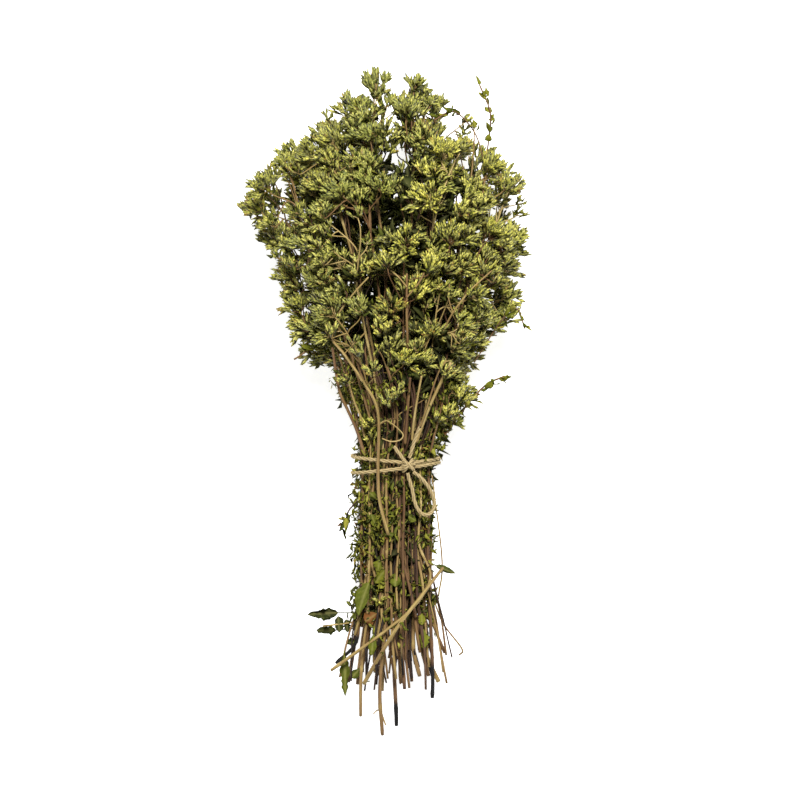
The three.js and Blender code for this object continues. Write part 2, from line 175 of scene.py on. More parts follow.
def build(name, parts, material, stands_for=()):
    """One piece made of closed tubes. Each part holds "grid", places (tubes, rings, sides, 3) in
    millimetres, and point values by name that fit (tubes, rings, sides). In the map OFBake, a
    part's band is as high as its share of the surface."""
    places, corners, sizes, cell_uv, grain_uv = [], [], [], [], []
    names = sorted({key for part in parts for key in part} - {"grid"})
    values = {key: [] for key in names}
    # A side's width and length at each ring, and from them the parts' shares of the surface.
    widths = [np.linalg.norm(np.diff(p["grid"][:, :, :2], axis=2), axis=-1)[..., 0] for p in parts]
    steps = [np.linalg.norm(np.diff(p["grid"][:, :, 0], axis=1), axis=-1) for p in parts]
    areas = [s.sum() * w.mean() * p["grid"].shape[2] for s, w, p in zip(steps, widths, parts)]
    shares = np.maximum(np.array(areas) / sum(areas), 0.04)
    bands = np.append(0, np.cumsum(shares / shares.sum()))
    base = 0
    for part, wide, step, low, high in zip(parts, widths, steps, bands, bands[1:]):
        shape = part["grid"].shape[:3]
        found, many = tube_faces(*shape)
        corners.append(base + found)
        sizes.append(many)
        cell_uv.append(cell_map(*shape, low, high))
        grain_uv.append(grain_map(*shape, wide, step))
        places.append(part["grid"].reshape(-1, 3))
        for key in names:
            values[key].append(np.broadcast_to(part.get(key, 0.0), shape).ravel())
        base += len(places[-1])
    mesh = bpy.data.meshes.new(name)
    corners, sizes = np.concatenate(corners), np.concatenate(sizes)
    mesh.vertices.add(base)
    mesh.vertices.foreach_set("co", (np.concatenate(places) * MM).ravel())
    mesh.loops.add(len(corners))
    mesh.loops.foreach_set("vertex_index", corners)
    mesh.polygons.add(len(sizes))
    mesh.polygons.foreach_set("loop_start", np.append(0, np.cumsum(sizes)[:-1]))
    mesh.polygons.foreach_set("loop_total", sizes)
    mesh.polygons.foreach_set("use_smooth", np.ones(len(sizes), bool))
    for map_name, found in (("OFBake", cell_uv), ("grain", grain_uv)):
        layer = mesh.uv_layers.new(name=map_name)
        layer.uv.foreach_set("vector", np.concatenate(found).ravel())
    for key in names:
        kept = mesh.attributes.new(key, "FLOAT", "POINT")
        kept.data.foreach_set("value", np.concatenate(values[key]))
    mesh.update(calc_edges=True)
    mesh.materials.append(material)
    piece = bpy.data.objects.new(name, mesh)
    bpy.context.scene.collection.objects.link(piece)
    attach(piece, "root")
    if stands_for:
        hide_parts(*stands_for)
    return piece


def linear(colour):
    """An sRGB hex colour as linear red, green, blue and 1: c/12.92 up to 0.04045, and
    ((c+0.055)/1.055)^2.4 above."""
    c = np.array([int(colour[i : i + 2], 16) for i in (0, 2, 4)]) / 255
    return (*np.where(c <= 0.04045, c / 12.92, ((c + 0.055) / 1.055) ** 2.4), 1.0)


def add(material, kind, inputs=None, stops=(), **options):
    """Adds a node. inputs gives its sockets values or the outputs that feed them, stops are a
    colour ramp's (place, hex colour) pairs, and options are its own settings."""
    made = material.node_tree.nodes.new("ShaderNode" + kind)
    for name, value in options.items():
        setattr(made, name, value)
    for name, value in (inputs or {}).items():
        if isinstance(value, bpy.types.NodeSocket):
            material.node_tree.links.new(value, made.inputs[name])
        else:
            made.inputs[name].default_value = value
    if stops:
        ramp = made.color_ramp
        while len(ramp.elements) < len(stops):
            ramp.elements.new(1.0)
        for element, (place, colour) in zip(ramp.elements, stops):
            element.position, element.color = place, linear(colour)
    return made


def bare_material(name):
    """A new material with only its output node."""
    material = bpy.data.materials.new(name)
    material.use_nodes = True
    material.node_tree.nodes.clear()
    return material


def jute_material():
    """Jute: matt, hairy bast fibre. Fibres about 0.2 mm thick run along each ply, drawn 0.3 mm
    wide so that they show, and the grooves between the plies are darkened with painted shade."""
    m = bare_material("jute_bast_fibre")
    grain = add(m, "UVMap", uv_map="grain")
    fibre = add(m, "Mapping", {0: grain.outputs[0], 3: (3.3, 0.16, 1)})
    streaks = add(m, "TexNoise", {"Vector": fibre.outputs[0], "Scale": 1.0, "Detail": 3.0})
    crest = add(m, "Attribute", attribute_name="crest")
    lift = add(m, "Math", {0: streaks.outputs[0], 1: 0.75}, operation="MULTIPLY")
    # Painted shade: the colour is paler on the ply crests and darker down in the grooves between them.
    level = add(m, "Math", {0: crest.outputs["Fac"], 1: 0.35, 2: lift.outputs[0]}, operation="MULTIPLY_ADD")
    colour = add(m, "ValToRGB", {0: level.outputs[0]}, stops=TWINE_COLOURS)
    bump = add(m, "Bump", {"Height": streaks.outputs[0], "Strength": 0.5, "Distance": 0.15 * MM})
    shader = add(m, "BsdfPrincipled", {
        "Base Color": colour.outputs[0], "Normal": bump.outputs[0], "Roughness": 0.92,
        "Specular IOR Level": 0.2,
    })
    add(m, "OutputMaterial", {0: shader.outputs[0]})
    return m


def twine(path):
    """The plies of a twine along path (m, 3), with a few stray hairs. Three touching plies fill
    a twine of radius R when each has radius 0.464 R and winds at 0.536 R; they are a little
    fuller here, because jute is soft."""
    path = path[None]
    gone = np.append(0, np.cumsum(np.linalg.norm(np.diff(path[0], axis=0), axis=1)))
    turn = 2 * np.pi * gone / TWINE_PITCH
    lay = np.stack([rings(path, 0.54 * TWINE_RADIUS, TWINE_PLIES, turn=turn[None])[0, :, i]
                    for i in range(TWINE_PLIES)])
    wear = 1 + 0.07 * np.sin(gone * 1.9 + 2 * np.arange(TWINE_PLIES)[:, None])
    grid = rings(lay, 0.5 * TWINE_RADIUS * wear[..., None], 8)
    # How far out from the twine's middle each place lies, which sets the painted shade in the grooves.
    crest = np.linalg.norm(grid - path[:, :, None], axis=-1) / TWINE_RADIUS
    count = int(gone[-1] / 0.7)
    at = chance.integers(2, path.shape[1] - 2, count)
    way = direction(chance.normal(size=(count, 3)))
    tangent = direction(np.gradient(path[0], axis=0))[at]
    out = square_to(way, tangent)
    lean = direction(out * 0.55 + tangent * chance.choice([-1, 1], (count, 1)))
    start = path[0][at] + 0.85 * TWINE_RADIUS * out
    reach = chance.uniform(1.0, 3.2, (count, 1))
    bend = 0.3 * reach * direction(np.cross(lean, out) + 0.3 * out)
    t = np.linspace(0, 1, 4)[:, None]
    hair = start[:, None] + t * (reach * lean)[:, None] + t**2 * bend[:, None]
    hair[..., 2] = np.maximum(hair[..., 2], 0.3)
    thin = np.array([0.07, 0.06, 0.045, 0.02])[None, :, None]
    hairs = {"grid": rings(hair, thin, 3, up=(0.3, 0.5, 0.81)), "crest": 0.95}
    return [{"grid": grid, "crest": crest}, hairs]


jute = jute_material()
# The frame's own box says how far the bunch was moved when it was centred.
shift = box_mm("twine_bow_loop").mean(0) - (np.min(BOW_LOOP, 0) + np.max(BOW_LOOP, 0)) / 2
shift[2] = 0.0
for name, route, far_end, count in (
    ("twine_bow_loop", BOW_LOOP, "object", 130),
    ("twine_loose_end", LOOSE_END, "bare", 64),
):
    line = through(np.array(route) + shift, count)
    piece = build(name.replace("twine", "jute"), twine(line), jute, [name])

# ---- Jute twine: the tie ----
# Two turns of the same twine pulled tight round the stems, an overhand knot on the upper side,
# and the short end that sticks out of it.
TURN_HALF_WIDTH, TURN_HALF_THICK = 25.8, 21.8
TIE_MIDDLE = np.array([5.5, -38.0, 42.0])
SHORT_END = [
    [12.6, -38.6, 64.4], [11, -36.6, 65], [9.4, -34.4, 65.2], [6.6, -30.6, 65.6], [4.4, -27.6, 65.8],
]
KNOT_CROSSINGS = [  # the strands that show on the knot: two slanting wraps and the one under them
    [[9.2, -37.4, 63.2], [10.6, -36.6, 65.6], [12.8, -38.2, 67.0], [15, -40.6, 65.8], [16.2, -41.8, 63.2]],
    [[10, -42.4, 63.0], [11, -41.2, 65.4], [12.8, -39.2, 66.6], [14.6, -36.8, 65.8], [15.6, -35.4, 63.4]],
    [[8.8, -39.6, 63.4], [10.6, -39.2, 65.8], [13, -38.8, 66.2], [15.4, -38.4, 65.2], [16.8, -38.2, 63.0]],
]


def turn_route(along):
    """One turn round the bundle: an ellipse of the turn's half sizes about the tie's middle,
    from the knot once round to the knot; along says how far it strays along the bunch at each
    place round."""
    first = math.acos((KNOT[0] - TIE_MIDDLE[0]) / TURN_HALF_WIDTH)
    turn = np.linspace(0.02, 0.98, 220) * 2 * np.pi
    x = TIE_MIDDLE[0] + TURN_HALF_WIDTH * np.cos(first + turn)
    z = TIE_MIDDLE[2] + TURN_HALF_THICK * np.sin(first + turn)
    return np.stack([x, KNOT[1] + along(turn), z], 1)


strands = [
    turn_route(lambda t: 1.3 + 5 * np.sin(t / 2)),
    turn_route(lambda t: -1.4 - 3.2 * np.sin(t)),
    through(SHORT_END, 30),
    *(through(points, 24) for points in KNOT_CROSSINGS),
]
tie_parts = [part for strand in strands for part in twine(strand + shift)]
build("jute_tie", tie_parts, jute, ["twine_tie"])

# ---- Stalks ----
# Dried square stems of oregano, 2 mm thick at the cut end, thinner towards the flowers, with a
# swelling at each pair of leaf scars. Each forks into the branchlets of its flower head.
HEADS = 26
STALK_STEP = 2.6  # from ring to ring
SWELLING_EVERY = 31.0
FORK_RADIUS = 0.4
GOLDEN_TURN = 2.39996  # radians, 137.5 degrees
CLUSTER_FOOT = -0.7  # CAD cluster: its foot and its apex, in radii from its middle
CLUSTER_APEX = 0.6
APEX_EDGE = 0.454  # length of the six equal edges that meet in an apex, in radii
CUT_APART, CUT_ACROSS = 9.5, 16.0  # between a cut and other clusters, and across a cut
FULL_CLUSTER = 10.5  # radius of the largest clusters
FULL_CLUSTER_RAYS = 11
RAY_REACH = 1.3  # how far a cluster's flowers stand from its foot, in radii
RAY_SPREAD = math.radians(62)
BURNT_ENDS = {4: 17.0, 8: 22.0, 10: 24.0}  # stalks whose cut end has gone black, and how far up
STALK_TINTS = {  # by stalk, 0 the darkest of the colours and 1 the palest
    1: 0.5, 4: 0.35, 6: 0.6, 8: 0.25, 9: 0.75, 10: 0.42, 11: 0.27, 12: 0.72, 13: 0.62, 14: 0.5,
    15: 0.45, 18: 0.2, 20: 0.7,
}
COMPANIONS = {11: 1, 14: 2}  # by head, smaller clusters beside each CAD cluster
UPPER_HEADS, MANY_BESIDE, FEW_BESIDE = 15, 4, 2  # in the other heads, the upper and the lower ones
HOLLOWS = [  # between the heads: middle and half sizes across and along, flowers keep under height
    (42, 170, 15, 16, -9), (-38, 176, 13, 10, -9), (2, 168, 7, 6, -9), (7, 142, 6, 6, -9),
    (-5, 151, 4, 6, -9), (-86, 98, 9, 10, -9), (-80, 84, 13, 12, -9), (-70, 67, 9, 10, -9),
    (43, 143, 9, 7, -9), (43, 119, 6, 7, -9), (73, 115, 8, 10, -9), (-62, 126, 9, 7, -9),
    (-64, 112, 8, 7, -9), (-25, 163, 6, 6, -9), (-2, 110, 27, 13, 45), (-22, 93, 12, 13, 45),
    (-4, 69, 13, 11, 50), (-17, 44, 13, 12, 45), (35, 50, 12, 11, 45), (30, 102, 9, 8, 50),
    (11, 46, 5, 15, 50), (-36, 5, 11, 16, -9), (-9, 28, 12, 16, 50), (2, 1, 15, 14, 50),
    (33, 5, 11, 15, 50), (-22, 12, 10, 17, 50), (14, -8, 12, 12, 50),
]
STALK_COLOURS = [
    (0.0, "261b14"), (0.2, "523a29"), (0.42, "6e5132"),
    (0.58, "836840"), (0.78, "98814b"), (1.0, "b59f69"),
]
BURNT_COLOUR = "0c0a07"


def corners_mm(node):
    """A CAD node's corners in millimetres, each place once, and its triangles."""
    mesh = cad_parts[node].data
    places = np.empty(3 * len(mesh.vertices))
    mesh.vertices.foreach_get("co", places)
    triangles = np.empty(3 * len(mesh.polygons), int)
    mesh.polygons.foreach_get("vertices", triangles)
    places = np.round(places.reshape(-1, 3) / MM, 3)
    once, index = np.unique(places, axis=0, return_inverse=True)
    return once, index.ravel()[triangles].reshape(-1, 3)


def middle_line(node):
    """The middle line of a CAD stem, cut end first: its corners in order along Y, six to a
    ring, and the middle of each ring."""
    places = corners_mm(node)[0]
    return places[np.argsort(places[:, 1])].reshape(-1, 6, 3).mean(1)


def clusters_of(node):
    """The clusters of a CAD flower head, as (middles, radii, axes). An apex is a corner with six
    neighbours, all at 0.454 radii; the axis runs to it from the middle of the six."""
    places, triangles = corners_mm(node)
    pairs = np.unique(np.vstack([triangles[:, [i, j]] for i, j in ((0, 1), (1, 2), (2, 0))]
                                + [triangles[:, [j, i]] for i, j in ((0, 1), (1, 2), (2, 0))]), axis=0)
    edge = np.linalg.norm(places[pairs[:, 0]] - places[pairs[:, 1]], axis=1)
    count = np.bincount(pairs[:, 0], minlength=len(places))
    mean = np.bincount(pairs[:, 0], edge, len(places)) / count
    off = np.zeros(len(places))
    np.maximum.at(off, pairs[:, 0], np.abs(edge - mean[pairs[:, 0]]))
    apex = np.flatnonzero((count == 6) & (off < 0.02) & (mean > 1.5))
    ring = np.stack([places[pairs[pairs[:, 0] == a, 1]].mean(0) for a in apex])
    radii = mean[apex] / APEX_EDGE
    axes = direction(places[apex] - ring)
    middles = places[apex] - CLUSTER_APEX * radii[:, None] * axes
    return with_cut_clusters(places[places[:, 2] < 0.05], middles, radii, axes)


def with_cut_clusters(flat, middles, radii, axes):
    """The clusters of a head with those that the surface has cut off, which show only the flat
    corners of their cuts. A cut's corners are more than CUT_APART from every other cluster and
    less than CUT_ACROSS from each other. Over it stands a middle, with an axis that slants
    down and away from the tie."""
    while len(flat):
        near = np.linalg.norm(middles[:, None, :2] - flat[None, :, :2], axis=2).min(0)
        flat = flat[near > CUT_APART]
        if not len(flat):
            break
        one = np.linalg.norm(flat[:, :2] - flat[0, :2], axis=1) < CUT_ACROSS
        middle = flat[one].mean(0) + (0, 0, 4.5)
        radius = max(6.0, 0.5 * np.ptp(flat[one], axis=0)[:2].max() + 1.5)
        if one.sum() > 2:
            away = np.array([middle[0] - shift[0] - 5, middle[1] + 60, -90.0])
            middles = np.vstack([middles, middle])
            radii = np.append(radii, min(radius, FULL_CLUSTER))
            axes = np.vstack([axes, direction(away)])
        flat = flat[~one]
    return middles, radii, axes


def square_rings(path, radius, sides=8, squareness=0.12, **settings):
    """Rings of a four-edged stalk: the radius swells by squareness towards four of its sides."""
    a = np.linspace(0, 2 * np.pi, sides, endpoint=False)
    shape = 1 + squareness * np.cos(4 * a + 0.4)
    return rings(path, radius[..., None] * shape, sides, **settings)


def run(start, end, leave, arrive, count):
    """Curves from start to end (k, 3) that leave and arrive along those ways:
    (2t^3-3t^2+1) start + (t^3-2t^2+t) leave + (3t^2-2t^3) end + (t^3-t^2) arrive."""
    t = np.linspace(0, 1, count)[None, :, None]
    start, end, leave, arrive = (v[:, None] for v in (start, end, leave, arrive))
    route = (2 * t**3 - 3 * t**2 + 1) * start + (t**3 - 2 * t**2 + t) * leave
    return route + (3 * t**2 - 2 * t**3) * end + (t**3 - t**2) * arrive


def stalk_material():
    """Dried stalk: woody skin, matt with a slight shine on its edges, streaked along its
    length every 0.4 mm, straw to reddish brown from stalk to stalk, and black where burnt."""
    m = bare_material("dried_stalk_skin")
    grain = add(m, "UVMap", uv_map="grain")
    along = add(m, "Mapping", {0: grain.outputs[0], 3: (2.4, 0.07, 1)})
    streaks = add(m, "TexNoise", {"Vector": along.outputs[0], "Scale": 1.0, "Detail": 4.0})
    patches = add(m, "Mapping", {0: grain.outputs[0], 3: (0.25, 0.06, 1)})
    weathered = add(m, "TexNoise", {"Vector": patches.outputs[0], "Scale": 1.0, "Detail": 2.0})
    tint = add(m, "Attribute", attribute_name="tint")
    a = add(m, "Math", {0: streaks.outputs[0], 1: 0.5, 2: tint.outputs["Fac"]}, operation="MULTIPLY_ADD")
    b = add(m, "Math", {0: weathered.outputs[0], 1: 0.5, 2: a.outputs[0]}, operation="MULTIPLY_ADD")
    level = add(m, "Math", {0: b.outputs[0], 1: 0.5}, operation="SUBTRACT")
    skin = add(m, "ValToRGB", {0: level.outputs[0]}, stops=STALK_COLOURS)
    burnt = add(m, "Attribute", attribute_name="burnt")
    colour = add(m, "Mix", {
        0: burnt.outputs["Fac"], 6: skin.outputs[0], 7: linear(BURNT_COLOUR),
    }, data_type="RGBA")
    bump = add(m, "Bump", {"Height": streaks.outputs[0], "Strength": 0.6, "Distance": 0.12 * MM})
    shader = add(m, "BsdfPrincipled", {
        "Base Color": colour.outputs[2], "Normal": bump.outputs[0], "Roughness": 0.72,
        "Specular IOR Level": 0.3,
    })
    add(m, "OutputMaterial", {0: shader.outputs[0]})
    return m


def main_stalk(number, line):
    """A main stalk along its middle line. Its radius falls from 1.12 mm at the cut end to
    0.62 mm at the top, times 0.76 to 1.12 from stalk to stalk and times 1 + 0.22 swelling, with
    swelling = exp(-((way gone mod 31 mm - 15)/1.6)^2). It wanders 0.3 mm from side to side."""
    count = int(np.linalg.norm(np.diff(line, axis=0), axis=1).sum() / STALK_STEP)
    path = through(line, count)
    gone = np.linspace(0, STALK_STEP * count, count)
    phase = chance.uniform(0, 6.3, 3)
    path[:, 0] += 0.3 * np.sin(gone / 9 + phase[0])
    path[:, 2] += 0.3 * np.sin(gone / 7 + phase[1])
    swelling = np.exp(-(((gone + 8 * phase[2]) % SWELLING_EVERY - 15) / 1.6) ** 2)
    radius = np.linspace(1.12, 0.62, count) * chance.uniform(0.76, 1.12) * (1 + 0.22 * swelling)
    radius[0] *= 0.9
    tint = STALK_TINTS.get(number, chance.uniform(0.15, 0.85)) + 0.12 * gone / gone[-1]
    burnt = np.clip((BURNT_ENDS.get(number, -9) - gone) / 3, 0, 1)
    return path, {
        "grid": square_rings(path[None], radius[None]),
        "tint": tint[None, :, None] + 0.25 * swelling[None, :, None],
        "burnt": burnt[None, :, None],
    }


def branchlets(base, way, feet, axes):
    """The forks of a head: a leading branchlet from base to the farthest foot, and one to each
    other foot, which leaves the leading one as far ahead as its foot lies, less 0.9 of how far
    aside it lies. Returns them, and their middle lines."""
    lead = int(np.argmax(np.linalg.norm(feet - base, axis=1)))
    long = np.linalg.norm(feet - base, axis=1)[:, None]
    main = run(base[None], feet[[lead]], way * long[[lead]], axes[[lead]] * 0.6 * long[[lead]], 25)[0]
    ahead_way = direction(feet[lead] - base)
    ahead = (feet - base) @ ahead_way
    aside = np.linalg.norm(feet - base - ahead[:, None] * ahead_way, axis=1)
    start = np.clip((ahead - 0.9 * aside) / long[lead], 0.0, 0.8)
    start[lead] = 0
    at = (start * (len(main) - 1)).astype(int)
    span = np.linalg.norm(feet - main[at], axis=1)[:, None]
    leave = direction(np.gradient(main, axis=0)[at] + 0.7 * direction(feet - main[at]))
    paths = run(main[at], feet, leave * 0.8 * span, axes * 0.7 * span, 12)
    bend = chance.normal(0, 0.35, (len(feet), 1, 3)) * np.sin(np.linspace(0, 3.1, 12))[None, :, None]
    radius = FORK_RADIUS * np.linspace(1.15, 0.8, 12) * np.ones((len(feet), 1))
    radius[lead] *= 1.2
    return {"grid": square_rings(paths + bend, radius, 5, 0.08)}, paths + bend


def side_shoots(parents, feet, axes):
    """Finer forks to the smaller clusters, each from 0.3 to 0.8 of the way along its parent."""
    at = chance.integers(3, 10, len(feet))
    start, ahead = (v[np.arange(len(feet)), at] for v in (parents, np.gradient(parents, axis=1)))
    span = np.linalg.norm(feet - start, axis=1)[:, None]
    leave = direction(direction(ahead) + 0.8 * direction(feet - start))
    paths = run(start, feet, leave * 0.7 * span, axes * 0.6 * span, 7)
    return {"grid": square_rings(paths, np.linspace(0.42, 0.32, 7), 4, 0.0)}


def leaning(middles, axes):
    """Axes turned by half or more towards the way from the tie to each cluster, spread 1.7 times
    sideways and flattened to 0.35 of its height, with a scatter of 12 degrees."""
    away = direction((middles - shift - TIE_MIDDLE) * (1.7, 1, 0.35))
    lean = chance.uniform(0.5, 1.0, (len(axes), 1))
    return direction((1 - lean) * axes + lean * away + chance.normal(0, 0.2, axes.shape))


def companions(count, middles, radii, axes):
    """Smaller clusters of the same head: each 2 to 20 mm back along its neighbour's axis and the
    way to the tie, and 4 to 14 mm aside."""
    middles, radii, axes = (np.repeat(v, count, 0) for v in (middles, radii, axes))
    back = direction(direction(TIE_MIDDLE + shift - middles) - 0.5 * axes)
    aside = np.cross(back, direction(chance.normal(size=back.shape)))
    shape = (len(middles), 1)
    moved = middles + back * chance.uniform(2, 20, shape) + aside * chance.uniform(4, 14, shape)
    moved[:, 2] = np.maximum(moved[:, 2], 5)
    return moved, radii * chance.uniform(0.72, 0.98, len(radii)), direction(axes + 0.45 * aside)


def over_ovals(places, ovals):
    """For each place, which of the ovals it lies over. An oval starts with its middle and half
    sizes, across and along, and a place is over it where
    ((x - middle x)/half x)^2 + ((y - middle y)/half y)^2 < 1."""
    x, y, wide, long = np.array(ovals)[:, :4].T
    place = (places - shift)[:, None]
    return ((place[..., 0] - x) / wide) ** 2 + ((place[..., 1] - y) / long) ** 2 < 1


def clear_of_hollows(places):
    """Which places stand clear of all the hollows."""
    above = places[:, 2, None] > np.array(HOLLOWS)[:, 4]
    return ~(over_ovals(places, HOLLOWS) & above).any(1)


def cone(axis, spread, count):
    """count ways spread evenly round axis: a sunflower spiral whose k-th way stands at
    cos = 1 - (1 - cos spread)(k + 0.5)/count from axis, turned 137.5 degrees from the last."""
    k = np.arange(count) + 0.5
    c = 1 - (1 - math.cos(spread)) * k / count
    s = np.sqrt(1 - c * c)
    turn = GOLDEN_TURN * k + chance.uniform(0, 6.3)
    side = direction(np.cross(axis, (0.31, 0.52, 0.8) if abs(axis[0]) < 0.9 else (0, 0, 1.0)))
    other = np.cross(axis, side)
    return c[:, None] * axis + s[:, None] * (np.cos(turn)[:, None] * side + np.sin(turn)[:, None] * other)


def above_surface(grid, soft=2.2, least=0.3):
    """Presses what would reach below the surface flat on it: heights under soft sink towards
    least, as least + (soft - least) exp((z - soft)/(soft - least))."""
    z = grid[..., 2]
    pressed = least + (soft - least) * np.exp(np.minimum(z - soft, 0) / (soft - least))
    grid[..., 2] = np.where(z < soft, pressed, z)
    return grid


def cluster_rays(middle, radius, axis):
    """The short rays inside a cluster, each carrying a tuft of spikelets: foot, reach and ways.
    The rays spread from its foot up to 62 degrees to each side, and their number goes with the
    square of its radius."""
    foot = middle + CLUSTER_FOOT * radius * axis
    count = max(4, round(FULL_CLUSTER_RAYS * (radius / FULL_CLUSTER) ** 2))
    ways = cone(axis, RAY_SPREAD, count)
    ways = direction(ways + chance.normal(0, 0.15, ways.shape))
    return foot, RAY_REACH * radius, ways


def all_clusters(own, beside):
    """The clusters of a head, its own CAD ones and then beside smaller ones for each, less those
    in a hollow. Returns each cluster's rays and axis, and the neighbour of each smaller one."""
    more = companions(beside, *own)
    free = clear_of_hollows(more[0])
    neighbour = np.repeat(np.arange(len(own[0])), beside)[free]
    middles, radii, axes = (np.concatenate([a, b[free]]) for a, b in zip(own, more))
    radii = np.where(clear_of_hollows(middles), radii, 0.55 * radii)
    axes = leaning(middles, axes)
    return [cluster_rays(*one) for one in zip(middles, radii, axes)], axes, neighbour


def fine_rays(clusters, axes):
    """The inner half of every ray of the clusters, curving out from the cluster's axis."""
    start = np.concatenate([np.repeat(foot[None], len(ways), 0) for foot, _, ways in clusters])
    lead = np.concatenate([np.repeat(axis[None], len(one[2]), 0) for axis, one in zip(axes, clusters)])
    reach = np.concatenate([np.full((len(ways), 1), reach) for _, reach, ways in clusters])
    ways = np.concatenate([ways for _, _, ways in clusters])
    lines = run(start, start + 0.5 * reach * ways, lead * 0.4 * reach, ways * 0.5 * reach, 3)
    return {"grid": square_rings(lines, np.linspace(0.42, 0.26, 3), 3, 0.0)}


stalk_skin = stalk_material()
stalk_lines = {k: middle_line(f"stem_{k:02d}") for k in range(1, HEADS + 1)}
head_clusters = {k: clusters_of(f"flower_head_{k:02d}") for k in range(1, HEADS + 1)}
stalk_paths = {}
rays = {}
for k in range(1, HEADS + 1):
    path, stalk = main_stalk(k, stalk_lines[k])
    stalk_paths[k] = path
    beside = COMPANIONS.get(k, MANY_BESIDE if k <= UPPER_HEADS else FEW_BESIDE)
    rays[k], axes, neighbour = all_clusters(head_clusters[k], beside)
    feet = np.stack([foot for foot, _, _ in rays[k]])
    own = len(head_clusters[k][0])
    forks, fork_lines = branchlets(path[-1], direction(path[-1] - path[-4]), feet[:own], axes[:own])
    shoots = side_shoots(fork_lines[neighbour], feet[own:], axes[own:])
    small = fine_rays(rays[k], axes)
    forks["tint"] = shoots["tint"] = stalk["tint"][0, -1, 0]
    small["tint"] = forks["tint"] + 0.1
    parts = [stalk, forks, small] + [shoots] * (len(neighbour) > 0)
    for part in parts:
        part["grid"] = above_surface(part["grid"])
    build(f"stalk_{k:02d}", parts, stalk_skin, [f"stem_{k:02d}"])

# ---- Flowers ----
# Corymbs of dried oregano flowers: each cluster is tufts of square spikelets about 6 mm long,
# made of small papery bracts that overlap in crossed pairs, greenish straw with paler edges.
SPIKELET_LENGTH = 5.8
SPIKELET_RADIUS = 0.84
SPIKELET_HEIGHTS = (-0.42, 0.15, 0.5, 1.0)
SPIKELET_WIDTHS = (0.18, 1.0, 1.1, 0.26)
SPIKELET_EDGES = (0.2, 0.9, 1.0, 1.0)  # 1 at a bract's pale edge
COARSE_ROWS = [0, 2, 3]  # the heights that a coarse spikelet keeps
COARSE_WIDER = 1.08  # how much wider a coarse spikelet is
TUFT_START, TUFT_LENGTH = 0.47, 0.57  # in reaches of the cluster
SPIKELETS = 87  # in a cluster with a reach of FULL_REACH
FULL_REACH = 13.6
SMALL_REACH = 11.0  # under it, spikelets are smaller too
HEAD_LOOKS = {  # by head: how pale it is, how fresh a green, and the size of its spikelets
    1: (0.43, 0.5, 1.0), 2: (0.45, 0.35, 1.05), 3: (0.5, 0.1, 0.9), 4: (0.42, 0.5, 0.95),
    5: (0.55, 0.15, 0.95), 6: (0.68, 0.0, 1.1), 7: (0.56, 0.1, 0.95), 8: (0.55, 0.05, 0.95),
    9: (0.53, 0.2, 0.9), 10: (0.48, 0.35, 0.9), 11: (0.7, 0.0, 1.15), 12: (0.52, 0.2, 0.95),
    13: (0.52, 0.3, 0.9), 14: (0.7, 0.1, 1.05), 15: (0.58, 0.2, 0.9),
}
FLOWER_COLOURS = [
    (0.0, "0b0e01"), (0.22, "2a3402"), (0.44, "586204"),
    (0.64, "8e8d10"), (0.82, "bdb530"), (1.0, "dfd664"),
]
FRESH_COLOUR, PALE_EDGE, RUSTY = "4d6612", "e4db7a", "8a5f26"


